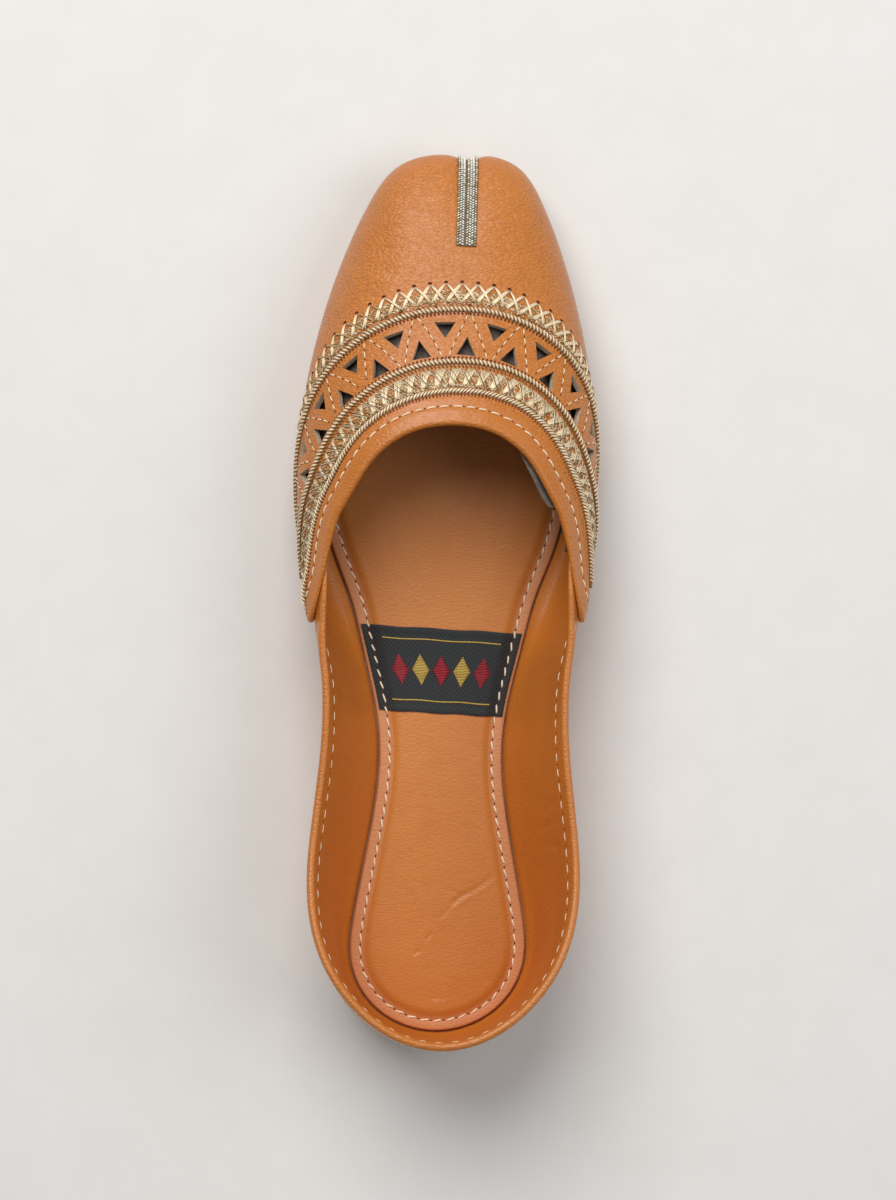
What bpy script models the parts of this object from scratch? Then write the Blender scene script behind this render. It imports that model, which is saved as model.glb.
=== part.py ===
"""A khussa: a flat South Asian slip-on shoe of tan leather, standing empty on its sole.

Metres, +Z up. The toe points along +Y and +X is the outer side. The origin lies on the floor
under the middle of the shoe.
"""

import math

import bmesh
import bpy
import numpy as np

# Driving sizes of the last
LENGTH = 0.2524
BALL_WIDTH = 0.0846
INSTEP_HEIGHT = 0.0455
COLLAR_HEIGHT = 0.0325
COUNTER_HEIGHT = 0.0472
TOE_SWING = 0.0038
HEEL_SWING = 0.0024
SWING_START = 0.015

# Leather
WALL = 0.0018
RIM_BEAD = 0.0025
BINDING_WIDTH = 0.0062
RIM_BINDING_WIDTH = 0.0042
BINDING_STEP = 0.0005
WING_STEP = 0.0014
WING_FADE = 0.018

# The fold down the toe
FOLD_SIDE = 0.0027
FOLD_DEPTH = 0.0019
FOLD_WIDTH = 0.0034
FOLD_REACH = 0.030

# Sole
SOLE = 0.0040
SOLE_MARGIN = 0.0012
SOLE_EDGE_ROUND = 0.0007
HEEL_LIFT = 0.0030
HEEL_BREAST = -0.060
BREAST_RUN = 0.0012
TREAD_BACK = 0.012
TREAD_FRONT = 0.078
TOE_SPRING = 0.0045

# Insole
INSOLE_EDGE = 0.0014
INSOLE_EDGE_ROUND = 0.0004
INSOLE_BORDER = 0.0042
PAD_RISE = 0.0016
PAD_SHOULDER = 0.0036
INSOLE_MARGIN = 0.0002

# Patch across the insole
PATCH_FRONT = -0.0082
PATCH_BACK = -0.0323
PATCH_THICKNESS = 0.0005
PATCH_INSET = 0.0008
PATCH_SLANT = 0.060

# Toe braid
BRAID_WIDTH = 0.0056
BRAID_THICKNESS = 0.0006
BRAID_START = 0.0275
BRAID_END = 0.0020

# Openwork and cords, as distances down from the throat edge
CORD_RADIUS = 0.0007
CORD_REAR = 0.0088
CORD_MIDDLE = 0.0176
CORD_FRONT = 0.0331
CORD_END = 0.0025
INNER_PITCH = 0.0129
OUTER_PITCH = 0.0141
OPENWORK_COUNT = 15
INNER_SHIFT = 0.0029
OUTER_SHIFT = 0.0040
OUTER_TRIANGLE_BASE = 0.0060
INNER_TRIANGLE_BASE = 0.0054
OUTER_TRIANGLE_HEIGHT = 0.0048
INNER_TRIANGLE_HEIGHT = 0.0056
OUTER_TRIANGLE_BACK = 0.0271
INNER_TRIANGLE_BACK = 0.0224
CUTTER_REACH = 0.0040

# The whole embroidery is turned a little and rises towards the throat at both sides.
# Tilt is a length; sag is a share of the distance from the rear cord; turn is in radians.
BAND_TILT = 0.0020
BAND_SAG = 0.19
BAND_TURN = 1.2

# Running gap between touching pieces
CLEARANCE = 0.0003

# Handles of the wall's curves as shares of their spans, and how much rounder an upright wall is
SHOULDER_HANDLE = 0.46
KNEE_HANDLE = 0.34
KNEE_ROUNDER = 0.16
FOOT_HANDLE = 0.34
FOOT_ROUNDER = 0.42
FOOT_LIFT = 0.30
FULL_LEAN = 0.45

# How finely curves are read and where the rim's bead has its corners, in degrees
WALL_STEPS = 28
THROAT_STEPS = 241
CORD_POINTS = 40
BRAID_RINGS = 15
BRAID_HALVINGS = 24
PATCH_RINGS = 6
PATCH_STEPS = 200
PROBE = 0.0006
BINDING_MIDDLE = 0.45
BEAD_CORNERS = (15, 55, 90, 125, 165)

# One row for each station from the toe round to the heel, on one side of the last's centre line.
# Outline: side as a share of half the ball width, along as a share of half the length.
# Height of the outline above the sole as a share of the collar height, and its lean outward.
# Tuck: how far the feather edge lies inside the outline, as a share of half the ball width.
STATIONS = [
    # name             side    along   height  lean    tuck
    ("toe centre",     0.000,  1.000,  0.170,  0.00,  0.070),
    ("toe front",      0.200,  0.998,  0.170,  0.00,  0.070),
    ("toe corner",     0.412,  0.970,  0.180,  0.00,  0.072),
    ("toe side",       0.577,  0.894,  0.205,  0.00,  0.075),
    ("forefoot",       0.730,  0.774,  0.260,  0.00,  0.078),
    ("tread",          0.858,  0.635,  0.320,  0.00,  0.082),
    ("ball front",     0.957,  0.470,  0.400,  0.00,  0.086),
    ("ball",           0.998,  0.277,  0.540,  0.00,  0.104),
    ("wing",           0.970,  0.115,  0.700,  0.00,  0.164),
    ("wing end",       0.868, -0.044,  0.780,  0.02,  0.226),
    ("waist front",    0.725, -0.160,  0.560,  0.30,  0.170),
    ("waist",          0.648, -0.305,  0.500,  0.45,  0.178),
    ("heel front",     0.710, -0.505,  0.500,  0.43,  0.196),
    ("heel side",      0.774, -0.688,  0.520,  0.30,  0.164),
    ("heel corner",    0.712, -0.832,  0.540,  0.14,  0.088),
    ("heel turn",      0.470, -0.944,  0.540,  0.00,  0.046),
    ("heel centre",    0.000, -1.000,  0.540, -0.03,  0.036),
]

# The same stations along the top edge: the throat in front, the rim behind.
# Rise: share of the way from the collar height up to the instep or to the counter.
# Slope: how steeply the wall leaves the edge, in degrees below level, over 90 where it runs inward.
# Crown: length of the curve's handle at the edge as a share of the distance to the outline.
TOPLINE = [
    # name             side    along   rise   slope   crown
    ("toe centre",     0.000,  0.391,  1.00,   22,   0.55),
    ("toe front",      0.060,  0.390,  1.00,   22,   0.55),
    ("toe corner",     0.120,  0.388,  0.99,   22,   0.55),
    ("toe side",       0.184,  0.384,  0.99,   23,   0.55),
    ("forefoot",       0.264,  0.376,  0.97,   24,   0.52),
    ("tread",          0.374,  0.358,  0.92,   27,   0.48),
    ("ball front",     0.532,  0.312,  0.80,   34,   0.42),
    ("ball",           0.690,  0.228,  0.60,   46,   0.38),
    ("wing",           0.802,  0.125,  0.33,   62,   0.36),
    ("wing end",       0.834, -0.078,  0.04,   84,   0.34),
    ("waist front",    0.806, -0.170,  0.00,  104,   0.34),
    ("waist",          0.800, -0.305,  0.00,  112,   0.34),
    ("heel front",     0.862, -0.510,  0.10,  111,   0.34),
    ("heel side",      0.866, -0.684,  0.44,  103,   0.34),
    ("heel corner",    0.730, -0.818,  0.76,   95,   0.34),
    ("heel turn",      0.442, -0.925,  0.93,   89,   0.34),
    ("heel centre",    0.000, -0.976,  1.00,   86,   0.34),
]
WING_ROW = 9
COLUMNS_PER_STATION = [5, 3, 3, 3, 3, 4, 4, 4, 4, 3, 3, 4, 4, 3, 3, 3]


def smooth_step(x):
    """A soft rise from 0 to 1."""
    x = np.clip(x, 0.0, 1.0)
    return x * x * (3.0 - 2.0 * x)


def closed_spline(knots, rows):
    """Return a function through the rows that is smooth all the way round."""
    count = len(rows)
    gap = np.diff(knots)
    slope = (np.roll(rows, -1, axis=0) - rows) / gap[:, None]
    system = np.zeros((count, count))
    for i in range(count):
        system[i, i - 1] += gap[i - 1]
        system[i, i] += 2.0 * (gap[i - 1] + gap[i])
        system[i, (i + 1) % count] += gap[i]
    bend = np.linalg.solve(system, 6.0 * (slope - np.roll(slope, 1, axis=0)))
    next_rows = np.roll(rows, -1, axis=0)
    next_bend = np.roll(bend, -1, axis=0)

    def at(u):
        u = np.mod(np.atleast_1d(u), knots[-1])
        i = np.clip(np.searchsorted(knots, u, side="right") - 1, 0, count - 1)
        width = gap[i][:, None]
        after = (u - knots[i])[:, None] / width
        before = 1.0 - after
        curve = (before**3 - before) * bend[i] + (after**3 - after) * next_bend[i]
        return before * rows[i] + after * next_rows[i] + curve * width**2 / 6.0

    return at


def station_values():
    """All columns of both tables in metres and degrees, for the outer side of the shoe."""
    half_width = BALL_WIDTH / 2
    half_length = LENGTH / 2
    rows = []
    for station, (base, top) in enumerate(zip(STATIONS, TOPLINE)):
        name, side, along, height, lean, tuck = base
        name, top_side, top_along, rise, slope, crown = top
        peak = INSTEP_HEIGHT if station <= WING_ROW else COUNTER_HEIGHT
        rows.append([
            side * half_width,
            along * half_length,
            height * COLLAR_HEIGHT,
            lean,
            tuck * half_width,
            top_side * half_width,
            top_along * half_length,
            COLLAR_HEIGHT + rise * (peak - COLLAR_HEIGHT),
            math.radians(slope),
            crown,
        ])
    return np.array(rows)


def mirrored(rows):
    """Both sides: the outer side from toe to heel, then the inner side back to the toe."""
    inner = rows[-2:0:-1].copy()
    inner[:, [0, 5]] *= -1.0
    return np.vstack([rows, inner])


ALL_ROWS = mirrored(station_values())
STEP_LENGTHS = np.linalg.norm(np.roll(ALL_ROWS[:, :2], -1, axis=0) - ALL_ROWS[:, :2], axis=1)
KNOTS = np.concatenate([[0.0], np.cumsum(STEP_LENGTHS)])
ROUND = KNOTS[-1]
LAST = closed_spline(KNOTS, ALL_ROWS)
WING_AT = KNOTS[WING_ROW]
NUDGE = ROUND * 1e-4


def swing(along):
    """Sideways shift of the centre line: the toe leans out and the heel a little in."""
    half_length = LENGTH / 2
    front = np.clip((along - SWING_START) / (half_length - SWING_START), 0.0, None)
    back = np.clip((SWING_START - along) / (half_length + SWING_START), 0.0, None)
    return TOE_SWING * front**1.5 - HEEL_SWING * back


def bottom_rise(along):
    """Height of the sole's bend above the floor: waist behind the tread, spring before it."""
    waist = smooth_step((TREAD_BACK - along) / (TREAD_BACK - HEEL_BREAST))
    toe = np.clip((along - TREAD_FRONT) / (LENGTH / 2 - TREAD_FRONT), 0.0, None)
    return HEEL_LIFT * waist + TOE_SPRING * toe**2


def seat_height(along):
    """Top of the outsole."""
    return SOLE + bottom_rise(along)


def side_of(ahead):
    """Unit vectors in plan to the left of a clockwise run, which point out of the shoe."""
    normal = np.stack([-ahead[:, 1], ahead[:, 0]], axis=1)
    return normal / np.linalg.norm(normal, axis=1)[:, None]


def plan_normals(u, columns):
    """Outward plan normals of the outline or of the top edge at each u."""
    return side_of(LAST(u + NUDGE)[:, columns] - LAST(u - NUDGE)[:, columns])


def bezier(p0, p1, p2, p3, t):
    """Points of a cubic curve for an array of t."""
    t = t[:, None]
    s = 1.0 - t
    return s**3 * p0 + 3 * s**2 * t * p1 + 3 * s * t**2 * p2 + t**3 * p3


def wall_profile(u, steps=WALL_STEPS):
    """One dense line down the wall, from the top edge to the feather edge."""
    values = LAST(u)[0]
    side, along, height, lean, tuck, top_side, top_along, top_height, slope, crown = values
    normal = plan_normals(u, [0, 1])[0]
    edge_normal = plan_normals(u, [5, 6])[0]
    out = np.array([normal[0], normal[1], 0.0])
    up = np.array([0.0, 0.0, 1.0])
    feather_plan = np.array([side, along]) - tuck * normal
    feather_z = seat_height(feather_plan[1]) + CLEARANCE
    feather = np.array([feather_plan[0], feather_plan[1], feather_z])
    outline = np.array([side, along, seat_height(along) + height])
    top = np.array([top_side, top_along, seat_height(top_along) + top_height])
    rising = up + lean * out
    roundness = 1.0 - np.clip(lean / FULL_LEAN, 0.0, 1.0)
    low = outline[2] - feather[2]
    foot = feather + out * tuck * (FOOT_HANDLE + FOOT_ROUNDER * roundness)
    foot = foot + up * low * FOOT_LIFT * (1.0 - roundness)
    knee = outline - rising * low * (KNEE_HANDLE + KNEE_ROUNDER * roundness)
    high = top[2] - outline[2]
    reach = np.linalg.norm(top - outline)
    shoulder = outline + rising * high * SHOULDER_HANDLE
    away = np.array([edge_normal[0], edge_normal[1], 0.0])
    leaving = away * math.cos(slope) - up * math.sin(slope)
    brow = top + leaving * reach * crown
    t = np.linspace(0.0, 1.0, steps)
    upper_part = bezier(top, brow, shoulder, outline, t)
    lower_part = bezier(outline, knee, foot, feather, t)
    line = np.vstack([upper_part, lower_part[1:]])
    line[:, 0] += swing(line[:, 1])
    return line, steps - 1


def down_distance(line):
    """Distance from the top edge to each point of a wall line."""
    return np.concatenate([[0.0], np.cumsum(np.linalg.norm(np.diff(line, axis=0), axis=1))])


def wall_point(u, distance):
    """Point of the plain outer face at a distance down from the top edge."""
    line, knee = wall_profile(u)
    run = down_distance(line)
    return np.array([np.interp(distance, run, line[:, k]) for k in range(3)])


def wall_frame(u, distance):
    """Outer point, direction along the edge, direction down the wall, and outward normal."""
    point = wall_point(u, distance)
    along_edge = wall_point(u + PROBE, distance) - wall_point(u - PROBE, distance)
    down = wall_point(u, distance + PROBE) - wall_point(u, max(distance - PROBE, 0.0))
    along_edge /= np.linalg.norm(along_edge)
    down /= np.linalg.norm(down)
    normal = np.cross(along_edge, down)
    normal /= np.linalg.norm(normal)
    return point, along_edge, down, normal


def wing_distance(u):
    """Distance along the outline from the nearer wing end, positive on the vamp."""
    u = u % ROUND
    return max(WING_AT - u, u - (ROUND - WING_AT))


def wing_lift(u):
    """Extra thickness where the vamp's wing lies over the quarter."""
    ahead = wing_distance(u)
    if ahead < 0.0:
        return 0.0
    return WING_STEP * (1.0 - float(smooth_step(ahead / WING_FADE)))


def fold_dent(points):
    """Depth of the fold that runs down the toe."""
    side = points[..., 0] - swing(points[..., 1]) - FOLD_SIDE
    reach = LENGTH / 2 - points[..., 1]
    fade = 1.0 - smooth_step(reach / FOLD_REACH)
    return FOLD_DEPTH * np.exp(-((side / FOLD_WIDTH) ** 2)) * fade


def column_places():
    """Places round the last for the upper's columns, with a close pair at each wing end."""
    places = []
    stations = len(STATIONS) - 1
    counts = COLUMNS_PER_STATION + COLUMNS_PER_STATION[::-1]
    for i, count in enumerate(counts):
        places += list(np.linspace(KNOTS[i], KNOTS[i + 1], count, endpoint=False))
    gap = CLEARANCE / 2
    wing_ends = [WING_AT, KNOTS[2 * stations - WING_ROW]]
    result = []
    for place in places:
        if min(abs(place - end) for end in wing_ends) < 1e-9:
            result += [place - gap, place + gap]
        else:
            result.append(place)
    return result


def binding_width(u):
    """Width of the folded binding: wide on the throat, narrow round the rim."""
    share = smooth_step((wing_distance(u) + WING_FADE / 2) / WING_FADE)
    return RIM_BINDING_WIDTH + (BINDING_WIDTH - RIM_BINDING_WIDTH) * float(share)


def wall_grid(places, rows_above=6, rows_below=4):
    """Grid of plain outer points, column by column, and the binding's row numbers."""
    grid = []
    for u in places:
        line, knee = wall_profile(u)
        run = down_distance(line)
        binding = binding_width(u)
        step_foot = binding + BINDING_STEP
        above = np.linspace(step_foot, run[knee], rows_above + 1)
        below = np.linspace(run[knee], run[-1], rows_below + 1)[1:]
        stops = np.concatenate([[0.0, binding * BINDING_MIDDLE, binding], above, below])
        grid.append(np.stack([np.interp(stops, run, line[:, k]) for k in range(3)], axis=1))
    return np.array(grid)


def grid_normals(grid):
    """Outward unit normals of a grid that is closed round its first axis."""
    along = np.roll(grid, -1, axis=0) - np.roll(grid, 1, axis=0)
    down = np.empty_like(grid)
    down[:, 1:-1] = grid[:, 2:] - grid[:, :-2]
    down[:, 0] = grid[:, 1] - grid[:, 0]
    down[:, -1] = grid[:, -1] - grid[:, -2]
    normal = np.cross(along, down)
    return normal / np.linalg.norm(normal, axis=2)[:, :, None]


def new_object(name, mesh, collection, material=None):
    """Put a mesh in the scene as a named object."""
    thing = bpy.data.objects.new(name, mesh)
    collection.objects.link(thing)
    if material is not None:
        mesh.materials.append(material)
    return thing


def mesh_from_rings(name, rings, close_ends):
    """A mesh whose rings of points are joined in turn; the last ring may join the first."""
    rings = np.array(rings)
    ring_count, size = rings.shape[:2]
    verts = [tuple(p) for p in rings.reshape(-1, 3)]
    faces = []
    last = ring_count if close_ends else ring_count - 1
    for r in range(last):
        here = r * size
        there = ((r + 1) % ring_count) * size
        for k in range(size):
            nxt = (k + 1) % size
            faces.append((here + k, here + nxt, there + nxt, there + k))
    mesh = bpy.data.meshes.new(name)
    mesh.from_pydata(verts, [], faces)
    return mesh


def finish_mesh(mesh, sharp_degrees=40.0):
    """Weld, point the faces outward and shade the round parts smooth."""
    work = bmesh.new()
    work.from_mesh(mesh)
    bmesh.ops.remove_doubles(work, verts=work.verts, dist=1e-7)
    bmesh.ops.recalc_face_normals(work, faces=work.faces)
    if work.calc_volume(signed=True) < 0.0:
        bmesh.ops.reverse_faces(work, faces=work.faces)
    work.to_mesh(mesh)
    work.free()
    mesh.shade_smooth()
    mesh.set_sharp_from_angle(angle=math.radians(sharp_degrees))


def make_material(name, colour, roughness, metallic=0.0):
    """A plain Principled material."""
    material = bpy.data.materials.new(name)
    material.use_nodes = True
    shader = material.node_tree.nodes["Principled BSDF"]
    shader.inputs["Base Color"].default_value = (*colour, 1.0)
    shader.inputs["Roughness"].default_value = roughness
    shader.inputs["Metallic"].default_value = metallic
    return material


def make_upper(collection, cutters, material):
    """One hollow leather wall, open on top and underneath, with its openwork cut through."""
    places = column_places()
    plain = wall_grid(places)
    normal = grid_normals(plain)
    plain = plain - normal * fold_dent(plain)[:, :, None]
    lift = np.array([wing_lift(u) for u in places])
    binding_rows = np.zeros(plain.shape[1])
    binding_rows[:3] = BINDING_STEP
    outer = plain + normal * (lift[:, None] + binding_rows[None, :])[:, :, None]
    inner = plain - normal * WALL
    foot = normal[:, -1].copy()
    foot[:, 2] = 0.0
    foot /= np.linalg.norm(foot, axis=1)[:, None]
    inner[:, -1] = plain[:, -1] - foot * WALL
    outer[:, -1] = plain[:, -1]
    middle = (outer[:, 0] + inner[:, 0]) / 2
    upward = plain[:, 0] - plain[:, 1]
    upward /= np.linalg.norm(upward, axis=1)[:, None]
    half_top = np.linalg.norm(outer[:, 0] - inner[:, 0], axis=1)[:, None] / 2
    radius = np.maximum(RIM_BEAD / 2, half_top)
    bead = []
    for degrees in BEAD_CORNERS:
        turn = math.radians(degrees)
        bead.append(middle + radius * (math.cos(turn) * normal[:, 0] + math.sin(turn) * upward))
    rings = [outer[:, k] for k in range(outer.shape[1] - 1, -1, -1)]
    rings += bead
    rings += [inner[:, k] for k in range(0, inner.shape[1], 2)]
    mesh = mesh_from_rings("upper", rings, close_ends=True)
    finish_mesh(mesh)
    upper = new_object("upper", mesh, collection, material)
    cutter = make_openwork_cutter(cutters)
    cut = upper.modifiers.new("openwork", "BOOLEAN")
    cut.operation = "DIFFERENCE"
    cut.solver = "EXACT"
    cut.object = cutter
    return upper


def band_distance(base, u):
    """Distance down from the throat edge of a line of the embroidery at a place on the vamp."""
    turn = math.sin(BAND_TURN * u / WING_AT)
    return base + BAND_TILT * turn - BAND_SAG * (base - CORD_REAR) * turn**2


def band_line(base):
    """Places across the vamp along a line of the embroidery, and the run to each of them."""
    places = np.linspace(-WING_AT, WING_AT, THROAT_STEPS)
    line = np.array([wall_point(u, band_distance(base, u)) for u in places])
    return places, down_distance(line)


def openwork_places(back, shift, spacing, count):
    """Places round the last, evenly spaced along a line of the openwork."""
    places, run = band_line(back)
    middle = run[-1] / 2 + shift
    targets = middle + (np.arange(count) - (count - 1) / 2) * spacing
    return np.interp(targets, run, places)


def triangle_prism(u, back, base_near, base, height):
    """Corners of a triangle on the wall and of its copy inside, along the local normal."""
    centre, along_edge, down, normal = wall_frame(u, band_distance(back, u))
    base_down = height / 2 * (-1.0 if base_near else 1.0)
    flat = [
        centre + down * base_down - along_edge * base / 2,
        centre + down * base_down + along_edge * base / 2,
        centre - down * base_down,
    ]
    outside = [p + normal * CUTTER_REACH for p in flat]
    inside = [p - normal * CUTTER_REACH for p in flat]
    return outside, inside


def make_openwork_cutter(cutters):
    """Two staggered rows of triangles across the vamp, as one cutter."""
    verts = []
    faces = []
    outer_places = openwork_places(
        OUTER_TRIANGLE_BACK, OUTER_SHIFT, OUTER_PITCH, OPENWORK_COUNT - 1)
    inner_places = openwork_places(
        INNER_TRIANGLE_BACK, INNER_SHIFT, INNER_PITCH, OPENWORK_COUNT)
    rows = [
        (outer_places, OUTER_TRIANGLE_BACK, False, OUTER_TRIANGLE_BASE, OUTER_TRIANGLE_HEIGHT),
        (inner_places, INNER_TRIANGLE_BACK, True, INNER_TRIANGLE_BASE, INNER_TRIANGLE_HEIGHT),
    ]
    for places, back, base_near, base, height in rows:
        for u in places:
            outside, inside = triangle_prism(u, back, base_near, base, height)
            first = len(verts)
            verts += [tuple(p) for p in outside + inside]
            faces.append((first, first + 1, first + 2))
            faces.append((first + 5, first + 4, first + 3))
            for k in range(3):
                nxt = (k + 1) % 3
                faces.append((first + k, first + 3 + k, first + 3 + nxt, first + nxt))
    mesh = bpy.data.meshes.new("openwork_cutter")
    mesh.from_pydata(verts, [], faces)
    finish_mesh(mesh)
    cutter = new_object("openwork_cutter", mesh, cutters)
    cutter.hide_render = True
    cutter.display_type = "WIRE"
    return cutter


def feather_edge(u):
    """The feather edge in plan before the last's swing."""
    values = LAST(u)
    return values[:, :2] - plan_normals(u, [0, 1]) * values[:, 4:5]


def feather_line(places, inset):
    """The feather edge in plan, moved inward by an inset."""
    u = np.array(places)
    normal = side_of(feather_edge(u + NUDGE) - feather_edge(u - NUDGE))
    line = feather_edge(u) - normal * inset
    line[:, 0] += swing(line[:, 1])
    return line


def sole_places(per_station):
    """Places round the last, mirrored side to side, for the flat pieces."""
    places = []
    for i in range(2 * (len(STATIONS) - 1)):
        places += list(np.linspace(KNOTS[i], KNOTS[i + 1], per_station, endpoint=False))
    return places


def cap_with_strips(verts, faces, ring, size):
    """Close a mirrored ring with strips from side to side."""
    half = size // 2
    for k in range(half):
        left = (size - k) % size
        next_left = size - k - 1
        corners = [ring + k, ring + k + 1, ring + next_left, ring + left]
        unique = list(dict.fromkeys(corners))
        faces.append(tuple(unique))


def solid_from_rings(name, rings):
    """A closed solid from stacked mirrored rings, capped by strips at both ends."""
    rings = np.array(rings)
    ring_count, size = rings.shape[:2]
    verts = [tuple(p) for p in rings.reshape(-1, 3)]
    faces = []
    for r in range(ring_count - 1):
        for k in range(size):
            nxt = (k + 1) % size
            faces.append((r * size + k, r * size + nxt, (r + 1) * size + nxt, (r + 1) * size + k))
    cap_with_strips(verts, faces, 0, size)
    cap_with_strips(verts, faces, (ring_count - 1) * size, size)
    mesh = bpy.data.meshes.new(name)
    mesh.from_pydata(verts, [], faces)
    finish_mesh(mesh)
    return mesh


def make_outsole(collection, material):
    """Leather outsole with a low heel, an arch and a little toe spring."""
    places = sole_places(3)

    def underside(along):
        before_breast = smooth_step((along - HEEL_BREAST) / BREAST_RUN)
        return bottom_rise(along) * before_breast

    edge = feather_line(places, -SOLE_MARGIN)
    eased = feather_line(places, SOLE_EDGE_ROUND - SOLE_MARGIN)
    rings = []
    for line, height in (
        (eased, underside(eased[:, 1])),
        (edge, underside(edge[:, 1]) + SOLE_EDGE_ROUND),
        (edge, seat_height(edge[:, 1]) - SOLE_EDGE_ROUND),
        (eased, seat_height(eased[:, 1])),
    ):
        rings.append(np.column_stack([line, height]))
    mesh = solid_from_rings("outsole", rings)
    return new_object("outsole", mesh, collection, material)


def insole_top(inset):
    """Height of the insole's top above its foot at an inset from its edge."""
    rise = PAD_RISE * smooth_step((inset - INSOLE_BORDER) / PAD_SHOULDER)
    return INSOLE_EDGE + rise


def make_insole(collection, material):
    """Padded insole with a flat border."""
    places = sole_places(3)
    margin = WALL + CLEARANCE + INSOLE_MARGIN
    foot = CLEARANCE
    side_rings = [
        (0.0, 0.0),
        (0.0, INSOLE_EDGE - INSOLE_EDGE_ROUND),
        (INSOLE_EDGE_ROUND, INSOLE_EDGE),
    ]
    top_insets = INSOLE_BORDER + PAD_SHOULDER * np.array([0.0, 0.5, 1.0])
    rings = []
    for inset, height in side_rings + [(inset, insole_top(inset)) for inset in top_insets]:
        line = feather_line(places, margin + inset)
        rings.append(np.column_stack([line, seat_height(line[:, 1]) + foot + height]))
    mesh = solid_from_rings("insole", rings)
    return new_object("insole", mesh, collection, material)


def make_cord(name, base, collection, material):
    """A twisted cord laid on the vamp round the throat, from wing to wing."""
    places, run = band_line(base)
    stops = np.linspace(CORD_END, run[-1] - CORD_END, CORD_POINTS)
    points = []
    for u in np.interp(stops, run, places):
        point, along_edge, down, normal = wall_frame(u, band_distance(base, u))
        gap = CORD_RADIUS + CLEARANCE + wing_lift(u)
        points.append(point + normal * (gap - float(fold_dent(point))))
    curve = bpy.data.curves.new(name, "CURVE")
    curve.dimensions = "3D"
    curve.bevel_depth = CORD_RADIUS
    curve.bevel_resolution = 2
    curve.use_fill_caps = True
    spline = curve.splines.new("POLY")
    spline.points.add(len(points) - 1)
    for place, point in zip(spline.points, points):
        place.co = (*point, 1.0)
    cord = bpy.data.objects.new(name, curve)
    curve.materials.append(material)
    collection.objects.link(cord)
    return cord


def make_toe_braid(collection, material):
    """A strip of braid that runs down the fold and over the toe."""
    rings = []
    line, knee = wall_profile(0.0)
    run = down_distance(line)
    start = np.interp(LENGTH / 2 - BRAID_START, line[: knee + 1, 1], run[: knee + 1])
    end = run[knee] + BRAID_END
    half = BRAID_WIDTH / 2
    for distance in np.linspace(start, end, BRAID_RINGS):
        across = []
        for side in (FOLD_SIDE - half, FOLD_SIDE, FOLD_SIDE + half):
            u = braid_place(side, distance)
            point, along_edge, down, normal = wall_frame(u, distance)
            foot = point - normal * float(fold_dent(point))
            across.append((foot, normal))
        low = [foot + normal * CLEARANCE for foot, normal in across]
        high = [foot + normal * (CLEARANCE + BRAID_THICKNESS) for foot, normal in across]
        rings.append(low + high[::-1])
    mesh = strip_solid("toe_braid", rings)
    return new_object("toe_braid", mesh, collection, material)


def braid_place(side, distance):
    """Place round the last whose wall point lies at a side distance from the centre line."""
    low = -KNOTS[2]
    high = KNOTS[2]
    for _ in range(BRAID_HALVINGS):
        middle = (low + high) / 2
        point = wall_point(middle, distance)
        if point[0] - swing(point[1]) < side:
            low = middle
        else:
            high = middle
    return (low + high) / 2


def strip_solid(name, rings):
    """A closed solid from rings along a strip, with flat ends."""
    rings = np.array(rings)
    ring_count, size = rings.shape[:2]
    mesh = mesh_from_rings(name, rings, close_ends=False)
    work = bmesh.new()
    work.from_mesh(mesh)
    work.verts.ensure_lookup_table()
    work.faces.new([work.verts[k] for k in range(size)])
    work.faces.new([work.verts[(ring_count - 1) * size + k] for k in range(size)])
    work.to_mesh(mesh)
    work.free()
    finish_mesh(mesh)
    return mesh


def make_insole_label(collection, material):
    """A thin woven patch that lies across the insole and follows its pad."""
    margin = WALL + CLEARANCE + INSOLE_MARGIN
    insets = np.concatenate([
        [PATCH_INSET, INSOLE_BORDER],
        INSOLE_BORDER + PAD_SHOULDER * np.array([0.5, 1.0]),
    ])
    places = np.linspace(KNOTS[WING_ROW - 1], KNOTS[WING_ROW + 2], PATCH_STEPS)
    edges = [feather_line(places, margin + inset) for inset in insets]
    rings = []
    for middle in np.linspace(PATCH_FRONT, PATCH_BACK, PATCH_RINGS):
        low = []
        for outer_side in (False, True):
            half = []
            for inset, edge in zip(insets, edges):
                side = np.interp(-middle, -edge[:, 1], edge[:, 0])
                side = side if outer_side else 2 * float(swing(middle)) - side
                along = middle - PATCH_SLANT * side
                height = float(seat_height(along)) + insole_top(inset) + 2 * CLEARANCE
                half.append((side, along, height))
            low += half[::-1] if outer_side else half
        high = [(x, y, z + PATCH_THICKNESS) for x, y, z in low]
        rings.append(low + high[::-1])
    mesh = strip_solid("insole_label", rings)
    return new_object("insole_label", mesh, collection, material)


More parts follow.
